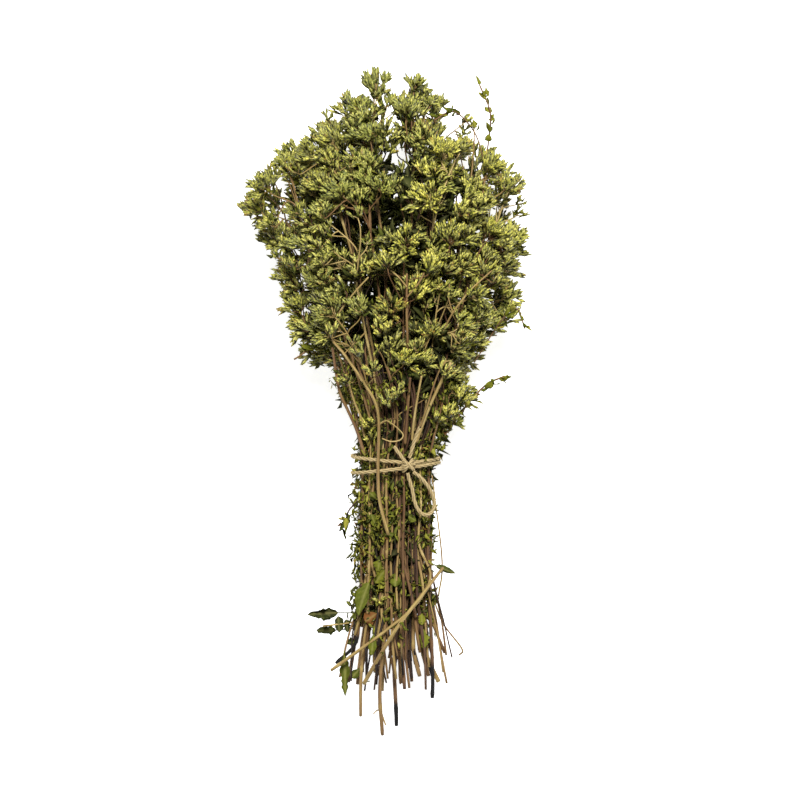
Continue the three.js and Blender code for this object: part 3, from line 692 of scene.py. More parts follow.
def bract_material():
    """Dried bracts: thin and papery with a slight sheen, 1.1 mm wide and 2 mm long, pale in the
    middle, with painted shade where they tuck under the next, and fine ribs 0.3 mm apart. Straw
    at the ridges of the spikelet, and rusty where the flower has withered."""
    m = bare_material("dried_flower_bracts")
    place = add(m, "TexCoord")
    mottle = add(m, "TexNoise", {"Vector": place.outputs["Object"], "Scale": 700.0, "Detail": 2.0})
    tint = add(m, "Attribute", attribute_name="tint")
    lift = add(m, "Math", {0: mottle.outputs[0], 1: 0.34, 2: tint.outputs["Fac"]}, operation="MULTIPLY_ADD")
    grain = add(m, "UVMap", uv_map="grain")
    scales = add(m, "Mapping", {0: grain.outputs[0], 3: (0.9, 0.5, 1)})
    bract = add(m, "TexVoronoi", {"Vector": scales.outputs[0], "Scale": 1.0}, voronoi_dimensions="2D")
    # Painted shade: the colour's place falls towards each bract's edge, where it tucks under the next.
    level = add(m, "Math", {
        0: bract.outputs["Distance"], 1: -0.4, 2: lift.outputs[0],
    }, operation="MULTIPLY_ADD")
    dry = add(m, "ValToRGB", {0: level.outputs[0]}, stops=FLOWER_COLOURS)
    fresh = add(m, "Attribute", attribute_name="fresh")
    green = add(m, "Mix", {
        0: fresh.outputs["Fac"], 6: dry.outputs[0], 7: linear(FRESH_COLOUR),
    }, data_type="RGBA")
    edge = add(m, "Attribute", attribute_name="edge")
    share = add(m, "Math", {0: edge.outputs["Fac"], 1: 0.6}, operation="MULTIPLY")
    pale = add(m, "Mix", {
        0: share.outputs[0], 6: green.outputs[2], 7: linear(PALE_EDGE),
    }, data_type="RGBA")
    rust = add(m, "Attribute", attribute_name="rust")
    colour = add(m, "Mix", {
        0: rust.outputs["Fac"], 6: pale.outputs[2], 7: linear(RUSTY),
    }, data_type="RGBA")
    # Painted shade: the colour is darkened further towards the bracts' edges, where they overlap.
    shade = add(m, "Math", {
        0: bract.outputs["Distance"], 1: -2.2, 2: 1.75,
    }, operation="MULTIPLY_ADD", use_clamp=True)
    with_painted_shade = add(m, "Mix", {
        0: 1.0, 6: colour.outputs[2], 7: shade.outputs[0],
    }, data_type="RGBA", blend_type="MULTIPLY")
    ribs = add(m, "Mapping", {0: grain.outputs[0], 3: (3.3, 0.2, 1)})
    rib = add(m, "TexNoise", {"Vector": ribs.outputs[0], "Scale": 1.0, "Detail": 2.0})
    relief = add(m, "Math", {0: rib.outputs[0], 1: 0.3, 2: shade.outputs[0]}, operation="MULTIPLY_ADD")
    bump = add(m, "Bump", {"Height": relief.outputs[0], "Strength": 0.8, "Distance": 0.3 * MM})
    shader = add(m, "BsdfPrincipled", {
        "Base Color": with_painted_shade.outputs[2], "Normal": bump.outputs[0], "Roughness": 0.5,
        "Specular IOR Level": 0.35,
    })
    add(m, "OutputMaterial", {0: shader.outputs[0]})
    return m


def spikelets(foot, reach, ways, count, tone, rust, fresh, size=1.0, coarse=False):
    """A cluster's spikelets, in one tuft at the end of each ray. A tuft starts 0.47 of the reach
    along its ray, leans a quarter of the way to the cluster's own axis, and its spikelets spread
    10 to 25 degrees to each side. A spikelet is a four-sided spindle of overlapping bracts: at
    height h its radius follows SPIKELET_WIDTHS, 25% more on one pair of sides and 22% less on
    the other, by turns. Two of its ridges are pale. A coarse one has three sides and one ring
    fewer."""
    each = max(3, round(1.2 * count / len(ways)))
    spreads, stretch = chance.uniform(10, 25, len(ways)), chance.uniform(0.78, 1.1, len(ways))
    lead = direction(ways + 0.35 * direction(ways.mean(0)) + chance.normal(0, 0.3, ways.shape))
    way = np.concatenate([cone(one, math.radians(a), each) for one, a in zip(lead, spreads)])
    kept = chance.random(len(way)) < np.repeat(chance.uniform(0.65, 1.0, len(ways)), each)
    way, ray = way[kept], np.repeat(ways, each, 0)[kept]
    far = (reach * np.repeat(stretch, each))[kept, None]
    count = len(way)
    way = direction(way + chance.normal(0, 0.08, way.shape))
    tip = foot + TUFT_START * far * ray + TUFT_LENGTH * far * way * chance.uniform(0.55, 1.1, (count, 1))
    size = size * chance.uniform(0.82, 1.12, (count, 1)) * min(1.0, reach / SMALL_REACH)
    sides, rows = (3, COARSE_ROWS) if coarse else (4, [0, 1, 2, 3])
    h, w, edge = (np.array(v)[rows] for v in (SPIKELET_HEIGHTS, SPIKELET_WIDTHS, SPIKELET_EDGES))
    long = SPIKELET_LENGTH * size
    start = tip - long * way
    bow = direction(np.cross(way, chance.normal(size=(count, 3)))) * 0.06 * long
    path = start[:, None] + (h[:, None] * (long * way)[:, None]) + (h**2)[:, None] * bow[:, None]
    pair = np.where((np.arange(len(h)) // 2 % 2)[:, None] == (np.arange(sides) % 2), 1.25, 0.78)
    pair[[0, -1]] = 1
    jitter = chance.uniform(0.85, 1.15, (count, len(h), sides)) * (COARSE_WIDER if coarse else 1.0)
    radius = SPIKELET_RADIUS * size[..., None] * w[:, None] * pair * jitter
    up = direction(chance.normal(size=(count, 1, 3)))
    ridge = 1 - np.arange(sides) % 2
    # The colour's place rises from base to tip: the darker bases, down in the cluster, are painted shade.
    level = tone + chance.normal(0, 0.15, (count, 1, 1)) + 0.6 * (h[:, None] - 0.55) - 0.36 * (1 - ridge)
    pale = edge[:, None] * np.clip(0.8 * ridge + 0.3 * (pair > 1), 0, 1)
    withered = (chance.random((count, 1, 1)) < rust) * np.clip(h[:, None] * 1.6 - 0.5, 0, 0.85)
    return {
        "grid": above_surface(rings(path, radius, sides, up=up)),
        "tint": level, "edge": pale[None], "rust": withered, "fresh": np.full((count, 1, 1), fresh),
    }


def merged(parts):
    """Parts with tubes of one shape, put together as one part."""

    def filled(part, key):
        """A part's values of that name, one at each of its places."""
        return np.broadcast_to(part[key], part["grid"].shape[:3])

    whole = {"grid": np.concatenate([part["grid"] for part in parts])}
    for key in parts[0]:
        if key != "grid":
            whole[key] = np.concatenate([filled(part, key) for part in parts])
    return whole


bracts = bract_material()
for k in range(1, HEADS + 1):
    tufts = [], []
    usual = chance.normal(0.56, 0.05), chance.uniform(0, 0.35), 1.0
    head_tone, fresh, size = HEAD_LOOKS.get(k, usual)
    for i, (foot, reach, ways) in enumerate(rays[k]):
        small = i >= len(head_clusters[k][0])
        count = int(SPIKELETS * (reach / FULL_REACH) ** 1.7 * (0.75 if small else 1) / size**1.5)
        rust = chance.choice([0.02, 0.05, 0.3], p=[0.5, 0.35, 0.15])
        tone = head_tone + chance.normal(0, 0.06) - 0.08 * small
        tufts[small].append(spikelets(foot, reach, ways, count, tone, rust, fresh, size, small))
    build(f"flowers_{k:02d}", [merged(t) for t in tufts if t], bracts, [f"flower_head_{k:02d}"])

# ---- Small sprigs inside the bunch ----
# Thinner sprigs of the same plant fill the bundle behind the main ones. Their flowers sit deeper
# between the heads, duller and painted darker as shade, and their stalks run down into the tied column.
INNER_CLUSTERS = 270
INNER_SPIKELETS, NECK_SPIKELETS = 39, 60  # in one cluster
COLUMN_STALKS = 110
COLUMN_RINGS = 22
SPREAD_BELOW = -92.0  # nearer the cut ends than this, the column's stalks spread
TOO_FAR = 1000.0  # added to a distance that isn't allowed
SLICE = 10.0
# Small clusters on top of the neck and the column: place, radius, colour's place and how fresh.
NECK_SPRIGS = [
    (-11, -12, 6.5, 0.66, 0.1), (-10, -21, 5.5, 0.6, 0.1), (0, 2, 8, 0.5, 0.3), (7, 7, 7, 0.5, 0.3),
    (46, 3, 8, 0.6, 0.1), (38, -7, 7.5, 0.62, 0.1), (30, -9, 6, 0.6, 0.1), (19, -32, 5, 0.62, 0.1),
    (-25, 13, 6, 0.5, 0.3), (-17, 30, 7, 0.42, 0.4), (-8, 20, 7, 0.45, 0.3), (-3.5, -119, 5, 0.72, 0.0),
    (26, 24, 7, 0.55, 0.2), (36, 18, 7, 0.52, 0.2),
]


def outline_of(places):
    """The bunch's middle and half sizes across and up at any place along it, read off its own
    CAD corners in slices 10 mm apart and evened out over three slices."""
    at = np.arange(-140, 196, SLICE)
    near = [places[np.abs(places[:, 1] - y) < 0.9 * SLICE] for y in at]
    found = np.array([[*p.min(0)[[0, 2]], *p.max(0)[[0, 2]]] for p in near])
    padded = np.vstack([found[:1], found, found[-1:]])
    found = (padded[:-2] + 2 * padded[1:-1] + padded[2:]) / 4
    middle, half = (found[:, :2] + found[:, 2:]) / 2, (found[:, 2:] - found[:, :2]) / 2
    table = np.hstack([middle, half])
    return lambda y: np.stack([np.interp(y, at, column) for column in table.T], -1)


def in_bunch(turn, reach, y):
    """Places at a share reach of the half sizes from the bunch's middle, turn round from +X."""
    mx, mz, hx, hz = np.moveaxis(outline(y), -1, 0)
    x, z = mx + reach * np.cos(turn) * hx, mz + reach * np.sin(turn) * hz
    return np.stack(np.broadcast_arrays(x, y, z), -1)


def around(turn):
    """Ways straight out from the bunch's middle line."""
    return np.stack([np.cos(turn), 0 * turn, np.sin(turn)], -1)


plant_nodes = [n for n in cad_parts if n.startswith(("stem", "flower"))]
outline = outline_of(np.concatenate([corners_mm(n)[0] for n in plant_nodes]))
k = np.arange(INNER_CLUSTERS) + 0.5
# Multiples of three such numbers, less their whole parts, fill a box evenly.
turn, deep, y = 2 * np.pi * (0.8192 * k % 1), 0.04 + 0.5 * (0.671 * k % 1), -14 + 190 * (0.5497 * k % 1)
middles = in_bunch(turn, np.sqrt(deep), y)
# A cluster in a hollow sinks to 0.4 of its height, and goes if it is still in one.
middles[:, 2] *= np.where(clear_of_hollows(middles), 1.0, 0.4)
free = clear_of_hollows(middles)
k, turn, middles = k[free], turn[free], middles[free]
inner_axes = leaning(middles, around(turn))
inner_rays = [cluster_rays(*one) for one in zip(middles, chance.uniform(8.5, 11.5, len(k)), inner_axes)]
tufts = []
for foot, reach, ways in inner_rays:
    # Painted shade: the inner clusters take darker colours than the heads.
    tone, fresh = chance.normal(0.38, 0.08), chance.uniform(0, 0.5)
    tufts.append(spikelets(foot, reach, ways, INNER_SPIKELETS, tone, 0.05, fresh, coarse=True))
for x, y, radius, tone, fresh in NECK_SPRIGS:
    x, y = x + shift[0], y + shift[1]
    mx, mz, hx, hz = outline(y)
    middle = np.array([x, y, mz + hz * math.sqrt(1 - ((x - mx) / hx) ** 2) - 1])
    foot, reach, ways = cluster_rays(middle, radius, direction(np.array([0.02 * (x - mx), 0.9, 0.6])))
    tufts.append(spikelets(foot, reach, ways, NECK_SPIKELETS, tone, 0.08, fresh, coarse=True))
for i in range(3):
    build(f"inner_flowers_{i + 1}", [merged(tufts[i::3])], bracts)

# Each inner cluster's stalk leaves a main one at the nearest place that lies some 15 to 40 mm
# or more towards the cut ends.
feet = np.stack([foot for foot, _, _ in inner_rays])
start = np.concatenate(list(stalk_paths.values()))
apart = np.linalg.norm(feet[:, None] - start[None], axis=2)
apart += TOO_FAR * (start[None, :, 1] > feet[:, None, 1] - chance.uniform(15, 40, (len(k), 1)))
start = start[np.argmin(apart, axis=1)]
leave = np.array([0, 1.0, 0]) * np.linalg.norm(feet - start, axis=1)[:, None]
wide = np.linspace(0.55, 0.4, 9) * chance.uniform(0.8, 1.2, (len(k), 1))
inner_stalks = {
    "grid": square_rings(run(start, feet, leave, inner_axes * 20, 9), wide, 4, 0.0),
    # Painted shade: the inner stalks take the darker half of the stalk colours.
    "tint": chance.uniform(0.0, 0.5, (len(k), 1, 1)),
}

# The column's stalks stand in a sunflower spiral, drawn together by 0.4 towards their tops.
k = np.arange(COLUMN_STALKS)[:, None] + 0.5
foot_y, top_y = -120 - 54 * chance.uniform(0, 1, k.shape) ** 1.3, chance.uniform(-24, 40, k.shape)
share = np.linspace(0, 1, COLUMN_RINGS)
y = foot_y + (top_y - foot_y) * share
lines = in_bunch(GOLDEN_TURN * k, np.sqrt(k / COLUMN_STALKS) * (1 - 0.4 * share**2), y)
below = np.maximum(SPREAD_BELOW - y, 0)
wander = np.sin(share * chance.uniform(6, 14, k.shape) + k)
lines[..., 0] += below * chance.uniform(-0.18, 0.26, k.shape) + 0.8 * wander
lines[..., 2] += below * chance.normal(0, 0.08, k.shape) + 0.5 * np.cos(2 * wander)
wide = chance.uniform(0.4, 0.95, k.shape) * np.linspace(1.1, 0.75, COLUMN_RINGS)
column_stalks = {
    "grid": above_surface(square_rings(lines, wide, 5, 0.08)),
    "tint": chance.uniform(-0.1, 0.75, k.shape)[..., None] - 0.25 * share[:, None],
    "burnt": (chance.random(k.shape) < 0.08)[..., None] * np.clip((0.1 - share[:, None]) * 30, 0, 1),
}
build("inner_stalks", [column_stalks, inner_stalks], stalk_skin)

# ---- Loose twigs ----
# Broken side twigs and thin stalks that stray from the bunch: one runs up with the loose end of
# the twine, one is bent into a ring above the tie, and others cross at the cut ends and show
# between the heads.
TWIG_RINGS = 41
LOOSE_TWIGS = [  # places along it, radius at the first, colour's place, share burnt from the first
    ([[17.6, -25, 65.5], [20.4, -17, 68], [25, -5, 72.5], [31, 8, 78], [38, 22, 83]], 1.0, 0.85, 0),
    ([[-2.7, -22.9, 68], [2.8, -24.7, 69], [8.2, -23.7, 70], [9.6, -20.2, 70.5], [4.1, -14.8, 70.5],
      [-0.6, -12.4, 70], [-4, -14.8, 69], [-5, -19, 67]], 0.36, 0.9, 0),
    ([[1, -80, 58], [-4, -60, 62], [-5, -42, 64.6], [-4.5, -14, 72.5], [-6.5, -2, 78],
      [-12, 8, 80], [-25, 27, 78], [-32, 36, 77], [-30, 47, 76]], 0.9, 0.7, 0),
    ([[-13.5, -169, 40], [-4, -152, 53], [7, -134, 61], [20, -117, 60], [33.5, -100, 42]], 1.05, 0.75, 0),
    ([[-0.6, -194, 35], [-2.8, -187, 34.5], [-3.8, -181, 34]], 0.45, 0.75, 0),
    ([[-2.8, -187.2, 34.5], [-5.2, -185, 34.5], [-8, -187.5, 34]], 0.4, 0.7, 0),
    ([[43.5, -153, 14], [45, -149, 18], [34, -134, 26], [28, -119, 31]], 0.5, 0.6, 0),
    ([[-38, -135, 31], [-22, -133, 34], [-16, -130, 38]], 0.5, 0.85, 0),
    ([[31, -117, 33], [33, -95, 40], [27, -45, 48]], 0.45, 0.7, 0),
    ([[17.5, -88, 46], [21, -107, 47], [22, -116, 45]], 0.9, 0.7, 0),
    ([[-28, -78, 40], [-24.6, -73, 43], [-22.5, -66, 46], [-17, -60, 50]], 0.5, 0.1, 0.6),
    ([[55, 186, 70], [60.5, 173, 70], [61.5, 163, 68], [60, 150, 66], [57, 122, 60]], 0.45, 0.35, 0),
    ([[28, 165, 74], [40, 170, 74], [52, 158, 70], [58, 140, 66]], 0.4, 0.4, 0),
    ([[82, 42, 62], [77, 54, 62], [68, 47, 60], [52, 22, 56]], 0.4, 0.4, 0),
    ([[-55, 24, 50], [-42, 30, 54], [-28, 18, 56], [-20, 0, 58]], 0.45, 0.5, 0),
    ([[70, 14, 52], [58, 8, 54], [44, -8, 54], [34, -22, 54]], 0.5, 0.45, 0),
    ([[-12, 40, 84], [-18, 34, 81], [-25, 27, 78]], 0.4, 0.8, 0),
    ([[-6, 14.5, 83], [-9, 11, 82], [-12, 8, 80]], 0.4, 0.8, 0),
    ([[-13, -32, 58], [-18, -17, 59], [-23, -6, 64], [-28, 6, 69], [-32, 31, 72]], 0.9, 0.45, 0),
    ([[-13, -22, 62], [-15, -11, 67], [-19, -1, 72], [-22, 9, 75]], 0.65, 0.8, 0),
    ([[11, -26, 66], [12.5, -5, 76], [14, 13, 84]], 0.9, 0.4, 0),
    ([[15, -24, 67], [16, -14, 72], [18, -0.5, 79], [20.7, 14, 85]], 0.7, 0.85, 0),
    ([[20, -16, 70], [24, -4, 76], [30, 14.5, 83], [35, 23, 85]], 0.55, 0.6, 0),
    ([[26, -31, 59], [28.5, -20, 63], [31, -10.7, 67], [34, 2, 72]], 0.6, 0.5, 0),
    ([[13, 24, 84], [12.3, 38, 93], [11.9, 52, 99], [12, 74, 102]], 0.75, 0.5, 0),
    ([[12, 66, 102], [7, 72, 103], [1.6, 76.5, 102]], 0.45, 0.75, 0),
    ([[12, 60, 101], [20, 70, 103], [24, 80, 102]], 0.45, 0.6, 0),
    ([[-30, 47, 76], [-26, 54, 83], [-18, 64, 90], [-10.5, 72, 93]], 0.6, 0.85, 0),
    ([[33, 39, 80], [39, 51, 89], [49, 64, 93], [62, 76, 88]], 0.55, 0.75, 0),
    ([[39, 51, 89], [36.5, 60, 93], [37, 68, 95]], 0.4, 0.7, 0),
]
lines_of_twigs = np.stack([through(twig[0], TWIG_RINGS) for twig in LOOSE_TWIGS]) + shift
radius, tint, black = (np.array(column, float)[:, None] for column in list(zip(*LOOSE_TWIGS))[1:])
share = np.linspace(0, 1, TWIG_RINGS)
build("loose_twigs", [{
    "grid": square_rings(lines_of_twigs, radius * (1.05 - 0.25 * share), 8, 0.1),
    "tint": (tint + 0.08 * np.sin(9 * share + 20 * tint))[..., None],
    "burnt": np.clip((black - share) * 12, 0, 1)[..., None],
}], stalk_skin)

# ---- Leaves ----
# Small oregano leaves, dried on the stalks: thin, brittle blades 2 to 26 mm long, rolled in at the
# edges and crumpled, olive to dark green, a few browned, with one rib and a few side veins.
LEAF_LOOKS = {  # by leaf: colour's place, curl, roll, crumple, how far above its CAD place, breadth
    1: (0.08, -0.6, 1.5, 0.5, 0, 1.2), 2: (0.22, 0.9, -1.5, 0.5, 0, 1.2),
    3: (0.42, 0.35, 0.9, 0.14, 3, 1.15), 4: (0.42, -0.5, 1.5, 0.5, 0, 1.3),
    5: (0.25, 0.5, -1.2, 0.2, 0, 1.1),
}
LARGER_LEAVES = [  # loose ones on the column: foot, way in degrees from +X, length, width, colour's place
    (-7, -109, 55, 12, 7, 0.75), (5, -111, 85, 9, 6, 0.6), (-9, -152, 84, 13, 4, 0.6),
    (22, -148, 96, 12.5, 6.5, 0.72), (21, -134, 90, 7, 4, 0.8), (-13, -132, 34, 9, 8, 1.5),
    (-29, -129, 275, 10, 6, 0.2), (-24, -131, 275, 8, 5, 0.15), (-24, -145, 7, 7, 4, 0.25),
    (-21, -166, 49, 9, 5, 0.5), (30, -116, 252, 10, 4.5, 0.55), (-4, -95, 258, 8, 5, 0.7),
    (-1, -80, -4, 8, 3.5, 0.55), (-9, -68, -70, 9, 4, 0.65), (13, -69, -30, 5.5, 4, 0.55),
    (-10, -55, -48, 6, 4, 0.6),
]
LEAF_COLOURS = [
    (0.0, "161b0a"), (0.22, "333b12"), (0.45, "545a18"),
    (0.66, "757520"), (0.86, "97913e"), (1.0, "6a4320"),
]
VEIN_COLOUR = "a49d60"
LEAF_PATCHES = 228  # on the column, each of LEAVES_A_PATCH leaves
LEAVES_A_PATCH = 15
BARE_PLACES = ((5, -16, 10, 16), (20, -8, 5, 20))  # above the tie: middle and half sizes
UPPER_SIDE = 30.0  # bare places reach down to this height
LEAFY_TWIGS = {10: 9, 11: 11, 12: 9, 13: 10, 14: 9, 15: 14, 3: 3}  # which twig, how many leaves
SHADED_LEAVES = 3500
FLOWER_LEAVES = 3  # under each cluster


def leaf_material():
    """Dried leaf: papery and matt, crinkled between its veins about every millimetre, its rib
    and side veins paler, some blades browned."""
    m = bare_material("dried_leaf_blade")
    place = add(m, "TexCoord")
    blotch = add(m, "TexNoise", {"Vector": place.outputs["Object"], "Scale": 260.0, "Detail": 3.0})
    tint = add(m, "Attribute", attribute_name="tint")
    lift = add(m, "Math", {0: blotch.outputs[0], 1: 0.4, 2: tint.outputs["Fac"]}, operation="MULTIPLY_ADD")
    level = add(m, "Math", {0: lift.outputs[0], 1: 0.2}, operation="SUBTRACT")
    blade = add(m, "ValToRGB", {0: level.outputs[0]}, stops=LEAF_COLOURS)
    vein = add(m, "Attribute", attribute_name="vein")
    share = add(m, "Math", {0: vein.outputs["Fac"], 1: 0.5}, operation="MULTIPLY")
    colour = add(m, "Mix", {
        0: share.outputs[0], 6: blade.outputs[0], 7: linear(VEIN_COLOUR),
    }, data_type="RGBA")
    crinkle = add(m, "TexNoise", {"Vector": place.outputs["Object"], "Scale": 900.0, "Detail": 3.0})
    bump = add(m, "Bump", {"Height": crinkle.outputs[0], "Strength": 0.7, "Distance": 0.25 * MM})
    shader = add(m, "BsdfPrincipled", {
        "Base Color": colour.outputs[2], "Normal": bump.outputs[0], "Roughness": 0.8,
        "Specular IOR Level": 0.1,
    })
    add(m, "OutputMaterial", {0: shader.outputs[0]})
    return m


def leaves(foot, way, face, length, width, curl, roll, tint, rows=6, across=4, crumple=0.3, ribs=0.25):
    """Leaf blades. Along v from 0 to 1 the rib turns by curl towards the back, and the blade is
    width sin(pi v^0.8)^0.8 wide. Across s from -1 to 1 it rolls: a place lies
    half sin(roll s)/roll aside and half (1 - cos(roll s))/roll up. Crumples lift it in waves,
    by up to crumple half s^2. A ring goes over the upper side and back under the lower one,
    0.18 mm apart at the rib."""
    k = len(foot)
    v = np.linspace(0, 1, rows)
    s = np.concatenate([np.linspace(-1, 1, across), np.linspace(1, -1, across)[1:-1]])
    upper = np.concatenate([np.ones(across), -np.ones(across - 2)]) * (1 - s**2)
    face = square_to(face, way)
    side = np.cross(way, face)
    bend = curl[:, None] * v
    along = np.cos(bend)[..., None] * way[:, None] - np.sin(bend)[..., None] * face[:, None]
    out = np.cos(bend)[..., None] * face[:, None] + np.sin(bend)[..., None] * way[:, None]
    steps = np.concatenate([np.zeros((k, 1, 3)), (along[:, 1:] + along[:, :-1]) / 2], 1)
    rib = foot[:, None] + np.cumsum(steps, 1) * (length / (rows - 1))[:, None, None]
    half = width[:, None] / 2 * np.sin(np.pi * v**0.8) ** 0.8 + 0.15
    half = half * (1 + 0.3 * crumple * chance.normal(size=half.shape))
    turn = roll[:, None, None] * s
    aside = half[..., None] * np.sin(turn) / roll[:, None, None]
    rise = half[..., None] * (1 - np.cos(turn)) / roll[:, None, None]
    phase = chance.uniform(0, 6.3, (k, 1, 1))
    wave = np.sin(9 * v[:, None] + 2.2 * s + phase) + 0.6 * np.sin(23 * v[:, None] - 4 * s + 2 * phase)
    rise = rise + crumple * half[..., None] * s**2 * wave + 0.09 * upper
    grid = rib[:, :, None] + aside[..., None] * side[:, None, None] + rise[..., None] * out[:, :, None]
    side_veins = np.clip(3 * np.sin(2 * np.pi * (6 * v[:, None] - 1.4 * np.abs(s))) - 2, 0, 1)
    vein = ribs * np.clip(np.exp(-((s / 0.16) ** 2)) + 0.4 * side_veins, 0, 1)
    return {"grid": above_surface(grid), "vein": vein[None], "tint": tint[:, None, None]}


def curled(count, least=0.6, most=2.2):
    """Rolls of so many leaves, upwards or downwards."""
    return chance.uniform(least, most, count) * chance.choice([-1, 1], count)


leaf_blade = leaf_material()
for k, (tint, curl, roll, crumple, raised, breadth) in LEAF_LOOKS.items():
    places = corners_mm(f"leaf_{k}")[0]
    apart = np.linalg.norm(places[:, None] - places[None], axis=2)
    ends = places[list(np.unravel_index(np.argmax(apart), apart.shape))]
    off = np.linalg.norm(ends - TIE_MIDDLE - shift, axis=1)
    end, tip = ends[np.argsort(off)] + (0, 0, raised)
    places = places + (0, 0, raised)
    way = direction(tip - end)
    ahead = (places - end) @ way
    aside = places - end - ahead[:, None] * way
    across = direction(aside[np.argmax(np.linalg.norm(aside, axis=1))])
    width = np.ptp(aside @ across)
    foot = end + way * max(0.0, ahead[np.abs(aside @ across) > 0.3 * width].min() - 2.5)
    face = direction(np.cross(way, across) * (1 if np.cross(way, across)[2] > 0 else -1)) + (0, 0, 1.2)
    long = np.linalg.norm(tip - foot)
    one_of_each = (np.array([v]) for v in (foot, way, face, long, breadth * width, curl, roll, tint))
    blade = leaves(*one_of_each, 15, 13, crumple, 0.7)
    stem = run((end - 2 * way)[None], (foot + 0.4 * way)[None], 3 * way[None], 3 * way[None], 8)
    petiole = {"grid": rings(stem, np.full((1, 8, 1), 0.38), 6), "tint": tint + 0.15}
    build(f"leaf_{k}_blade", [blade, petiole], leaf_blade, [f"leaf_{k}"])

# The larger leaves lie on the upper side of the bunch's outline.
x, y, turn, long, wide, tint = np.array(LARGER_LEAVES).T
x, y, turn = x + shift[0], y + shift[1], np.radians(turn)
mx, mz, hx, hz = np.moveaxis(outline(y), -1, 0)
z = mz + hz * np.sqrt(np.clip(1 - ((x - mx) / hx) ** 2, 0, 1)) + 1.5
way = direction(np.stack([np.cos(turn), np.sin(turn), chance.normal(0, 0.15, len(x))], 1))
face = direction((0, 0, 1) + chance.normal(0, 0.25, way.shape))
build("larger_leaves", [leaves(
    np.stack([x, y, z], 1), way, face, long, 1.2 * wide, chance.normal(0.3, 0.4, len(x)),
    curled(len(x), 0.7, 1.6), 0.8 * tint - 0.04, 12, 9, 0.4, 0.6,
)], leaf_blade)

# Small leaves on the column, in patches, mostly along the stalks.
count = LEAF_PATCHES * LEAVES_A_PATCH
turn = np.repeat(chance.uniform(0, 2 * np.pi, LEAF_PATCHES), LEAVES_A_PATCH)
turn += chance.normal(0, 0.16, count)
y = np.repeat(8 - 140 * chance.uniform(0, 1, LEAF_PATCHES) ** 1.15, LEAVES_A_PATCH)
y += chance.normal(0, 6, count)
reach = chance.uniform(0.8, 1.04, count) - 0.16 * (y > -25)
reach += chance.uniform(0, 0.25, count) * np.maximum(-np.cos(turn), 0) * (y < -40)
foot = in_bunch(turn, reach, y)
way = direction(chance.choice([-1.0, 1.0], (count, 1)) * (0, 1, 0) + chance.normal(0, 0.6, (count, 3)))
face = direction(around(turn) + chance.normal(0, 0.6, (count, 3)))
bare = over_ovals(foot, BARE_PLACES).any(1) & (foot[:, 2] > UPPER_SIDE)
foot, way, face = (v[~bare] for v in (foot, way, face))
count = len(foot)
long = 2.2 + 5.3 * chance.uniform(0, 1, count) ** 1.6
build("column_leaves", [leaves(
    foot, way, face, long, long * chance.uniform(0.35, 0.6, count), chance.normal(0.2, 1.0, count),
    curled(count, 0.9, 2.6), chance.normal(0.56, 0.22, count), 4, 3, 0.4,
)], leaf_blade)

# Leaves along the first 0.62 of some of the loose twigs.
twig = np.repeat(list(LEAFY_TWIGS), list(LEAFY_TWIGS.values()))
count = len(twig)
at = ((TWIG_RINGS - 1) * chance.uniform(0.0, 0.62, count)).astype(int)
along = direction(lines_of_twigs[twig, at] - lines_of_twigs[twig, at + 1])
out = direction(np.cross(along, chance.normal(size=(count, 3))))
build("twig_leaves", [leaves(
    lines_of_twigs[twig, at], direction(along + out), out, chance.uniform(4.5, 9.5, count),
    chance.uniform(3, 5.6, count), chance.normal(0.2, 0.8, count), curled(count),
    chance.normal(0.6, 0.16, count),
)], leaf_blade)

# Leaves in the shade inside, clear of the hollows, their very dark colour painted shade.
turn = chance.uniform(0, 2 * np.pi, SHADED_LEAVES)
y = chance.uniform(-125, 142, SHADED_LEAVES)
foot = in_bunch(turn, np.sqrt(chance.uniform(0, 0.45, SHADED_LEAVES)), y)
foot[:, 2] *= np.where(clear_of_hollows(foot), 1.0, 0.5)
foot = foot[clear_of_hollows(foot)]
count = len(foot)
way, face = direction(chance.normal(size=(2, count, 3)))
build("shaded_leaves", [leaves(
    foot, way, face, chance.uniform(7.5, 15, count), chance.uniform(4.5, 8, count),
    chance.normal(0, 0.9, count), curled(count, 0.8, 2.2), chance.normal(0.06, 0.1, count), 3, 3,
)], leaf_blade)

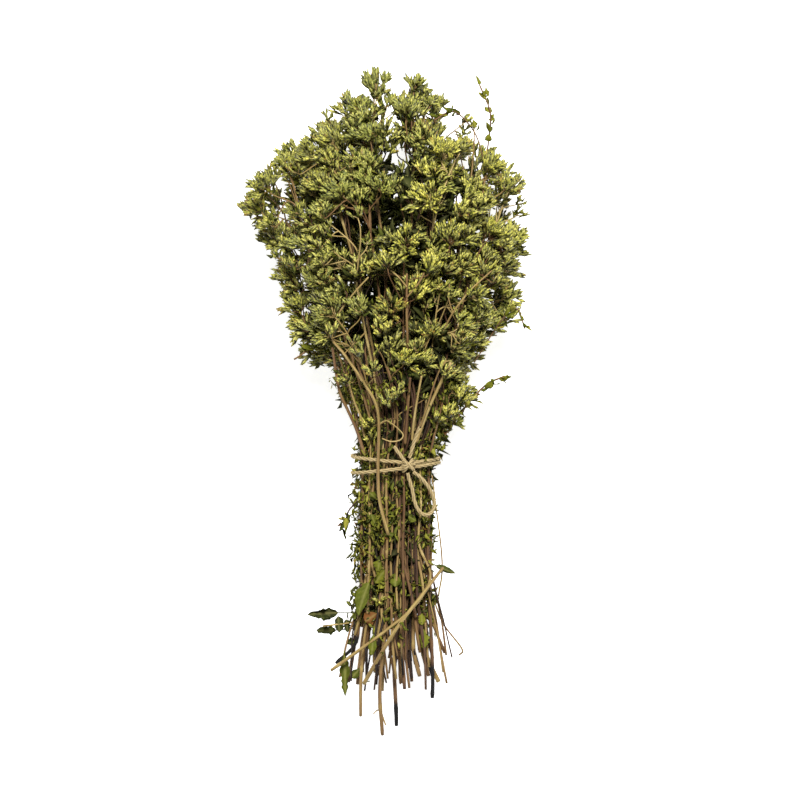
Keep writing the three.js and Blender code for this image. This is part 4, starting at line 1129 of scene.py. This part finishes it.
# A few small leaves under every flower cluster.
every = [ray for group in (*rays.values(), inner_rays) for ray in group]
foot = np.repeat(np.stack([ray[0] for ray in every]), FLOWER_LEAVES, 0)
axis = np.repeat(np.stack([direction(ray[2].mean(0)) for ray in every]), FLOWER_LEAVES, 0)
count = len(foot)
out = direction(np.cross(axis, chance.normal(size=(count, 3))))
foot = foot + axis * chance.uniform(-3, 4, (count, 1)) + out * 0.5
build("flower_leaves", [leaves(
    foot, direction(axis * chance.uniform(0.2, 1.2, (count, 1)) + out), direction(axis - 0.4 * out),
    chance.uniform(3.5, 8, count), chance.uniform(2, 4, count), chance.normal(-0.3, 0.8, count),
    curled(count), chance.normal(0.45, 0.17, count), 3, 3,
)], leaf_blade)

# ---- Floor and light ----
# A plain, nearly white matt floor; one large soft lamp above, a little to the left and towards
# the flowers, and pale light from all round.
floor_mesh = bpy.data.meshes.new("floor")
floor_mesh.from_pydata([(-3, -3, 0), (3, -3, 0), (3, 3, 0), (-3, 3, 0)], [], [(0, 1, 2, 3)])
floor_paint = bare_material("matt_white_floor")
paint = add(floor_paint, "BsdfPrincipled", {
    "Base Color": (0.92, 0.92, 0.92, 1), "Roughness": 0.9,
    "Emission Color": (1, 1, 1, 1), "Emission Strength": 0.84,
})
add(floor_paint, "OutputMaterial", {0: paint.outputs[0]})
floor_mesh.materials.append(floor_paint)
floor = bpy.data.objects.new("floor", floor_mesh)
bpy.context.scene.collection.objects.link(floor)


def lamp(name, place, size, power):
    """A square lamp of that size at place, turned to the middle of the bunch."""
    light = bpy.data.lights.new(name, "AREA")
    light.shape, light.size, light.energy = "SQUARE", size, power
    made = bpy.data.objects.new(name, light)
    made.location = place
    made.rotation_euler = (-made.location).to_track_quat("-Z", "Y").to_euler()
    bpy.context.scene.collection.objects.link(made)


lamp("key_lamp", (0.1, 1.0, 2.4), 0.6, 116)
world = bpy.data.worlds.new("studio")
world.use_nodes = True
world.node_tree.nodes["Background"].inputs[0].default_value = (1, 1, 1, 1)
world.node_tree.nodes["Background"].inputs[1].default_value = 0.18
bpy.context.scene.world = world
bpy.context.scene.view_settings.view_transform = "Standard"
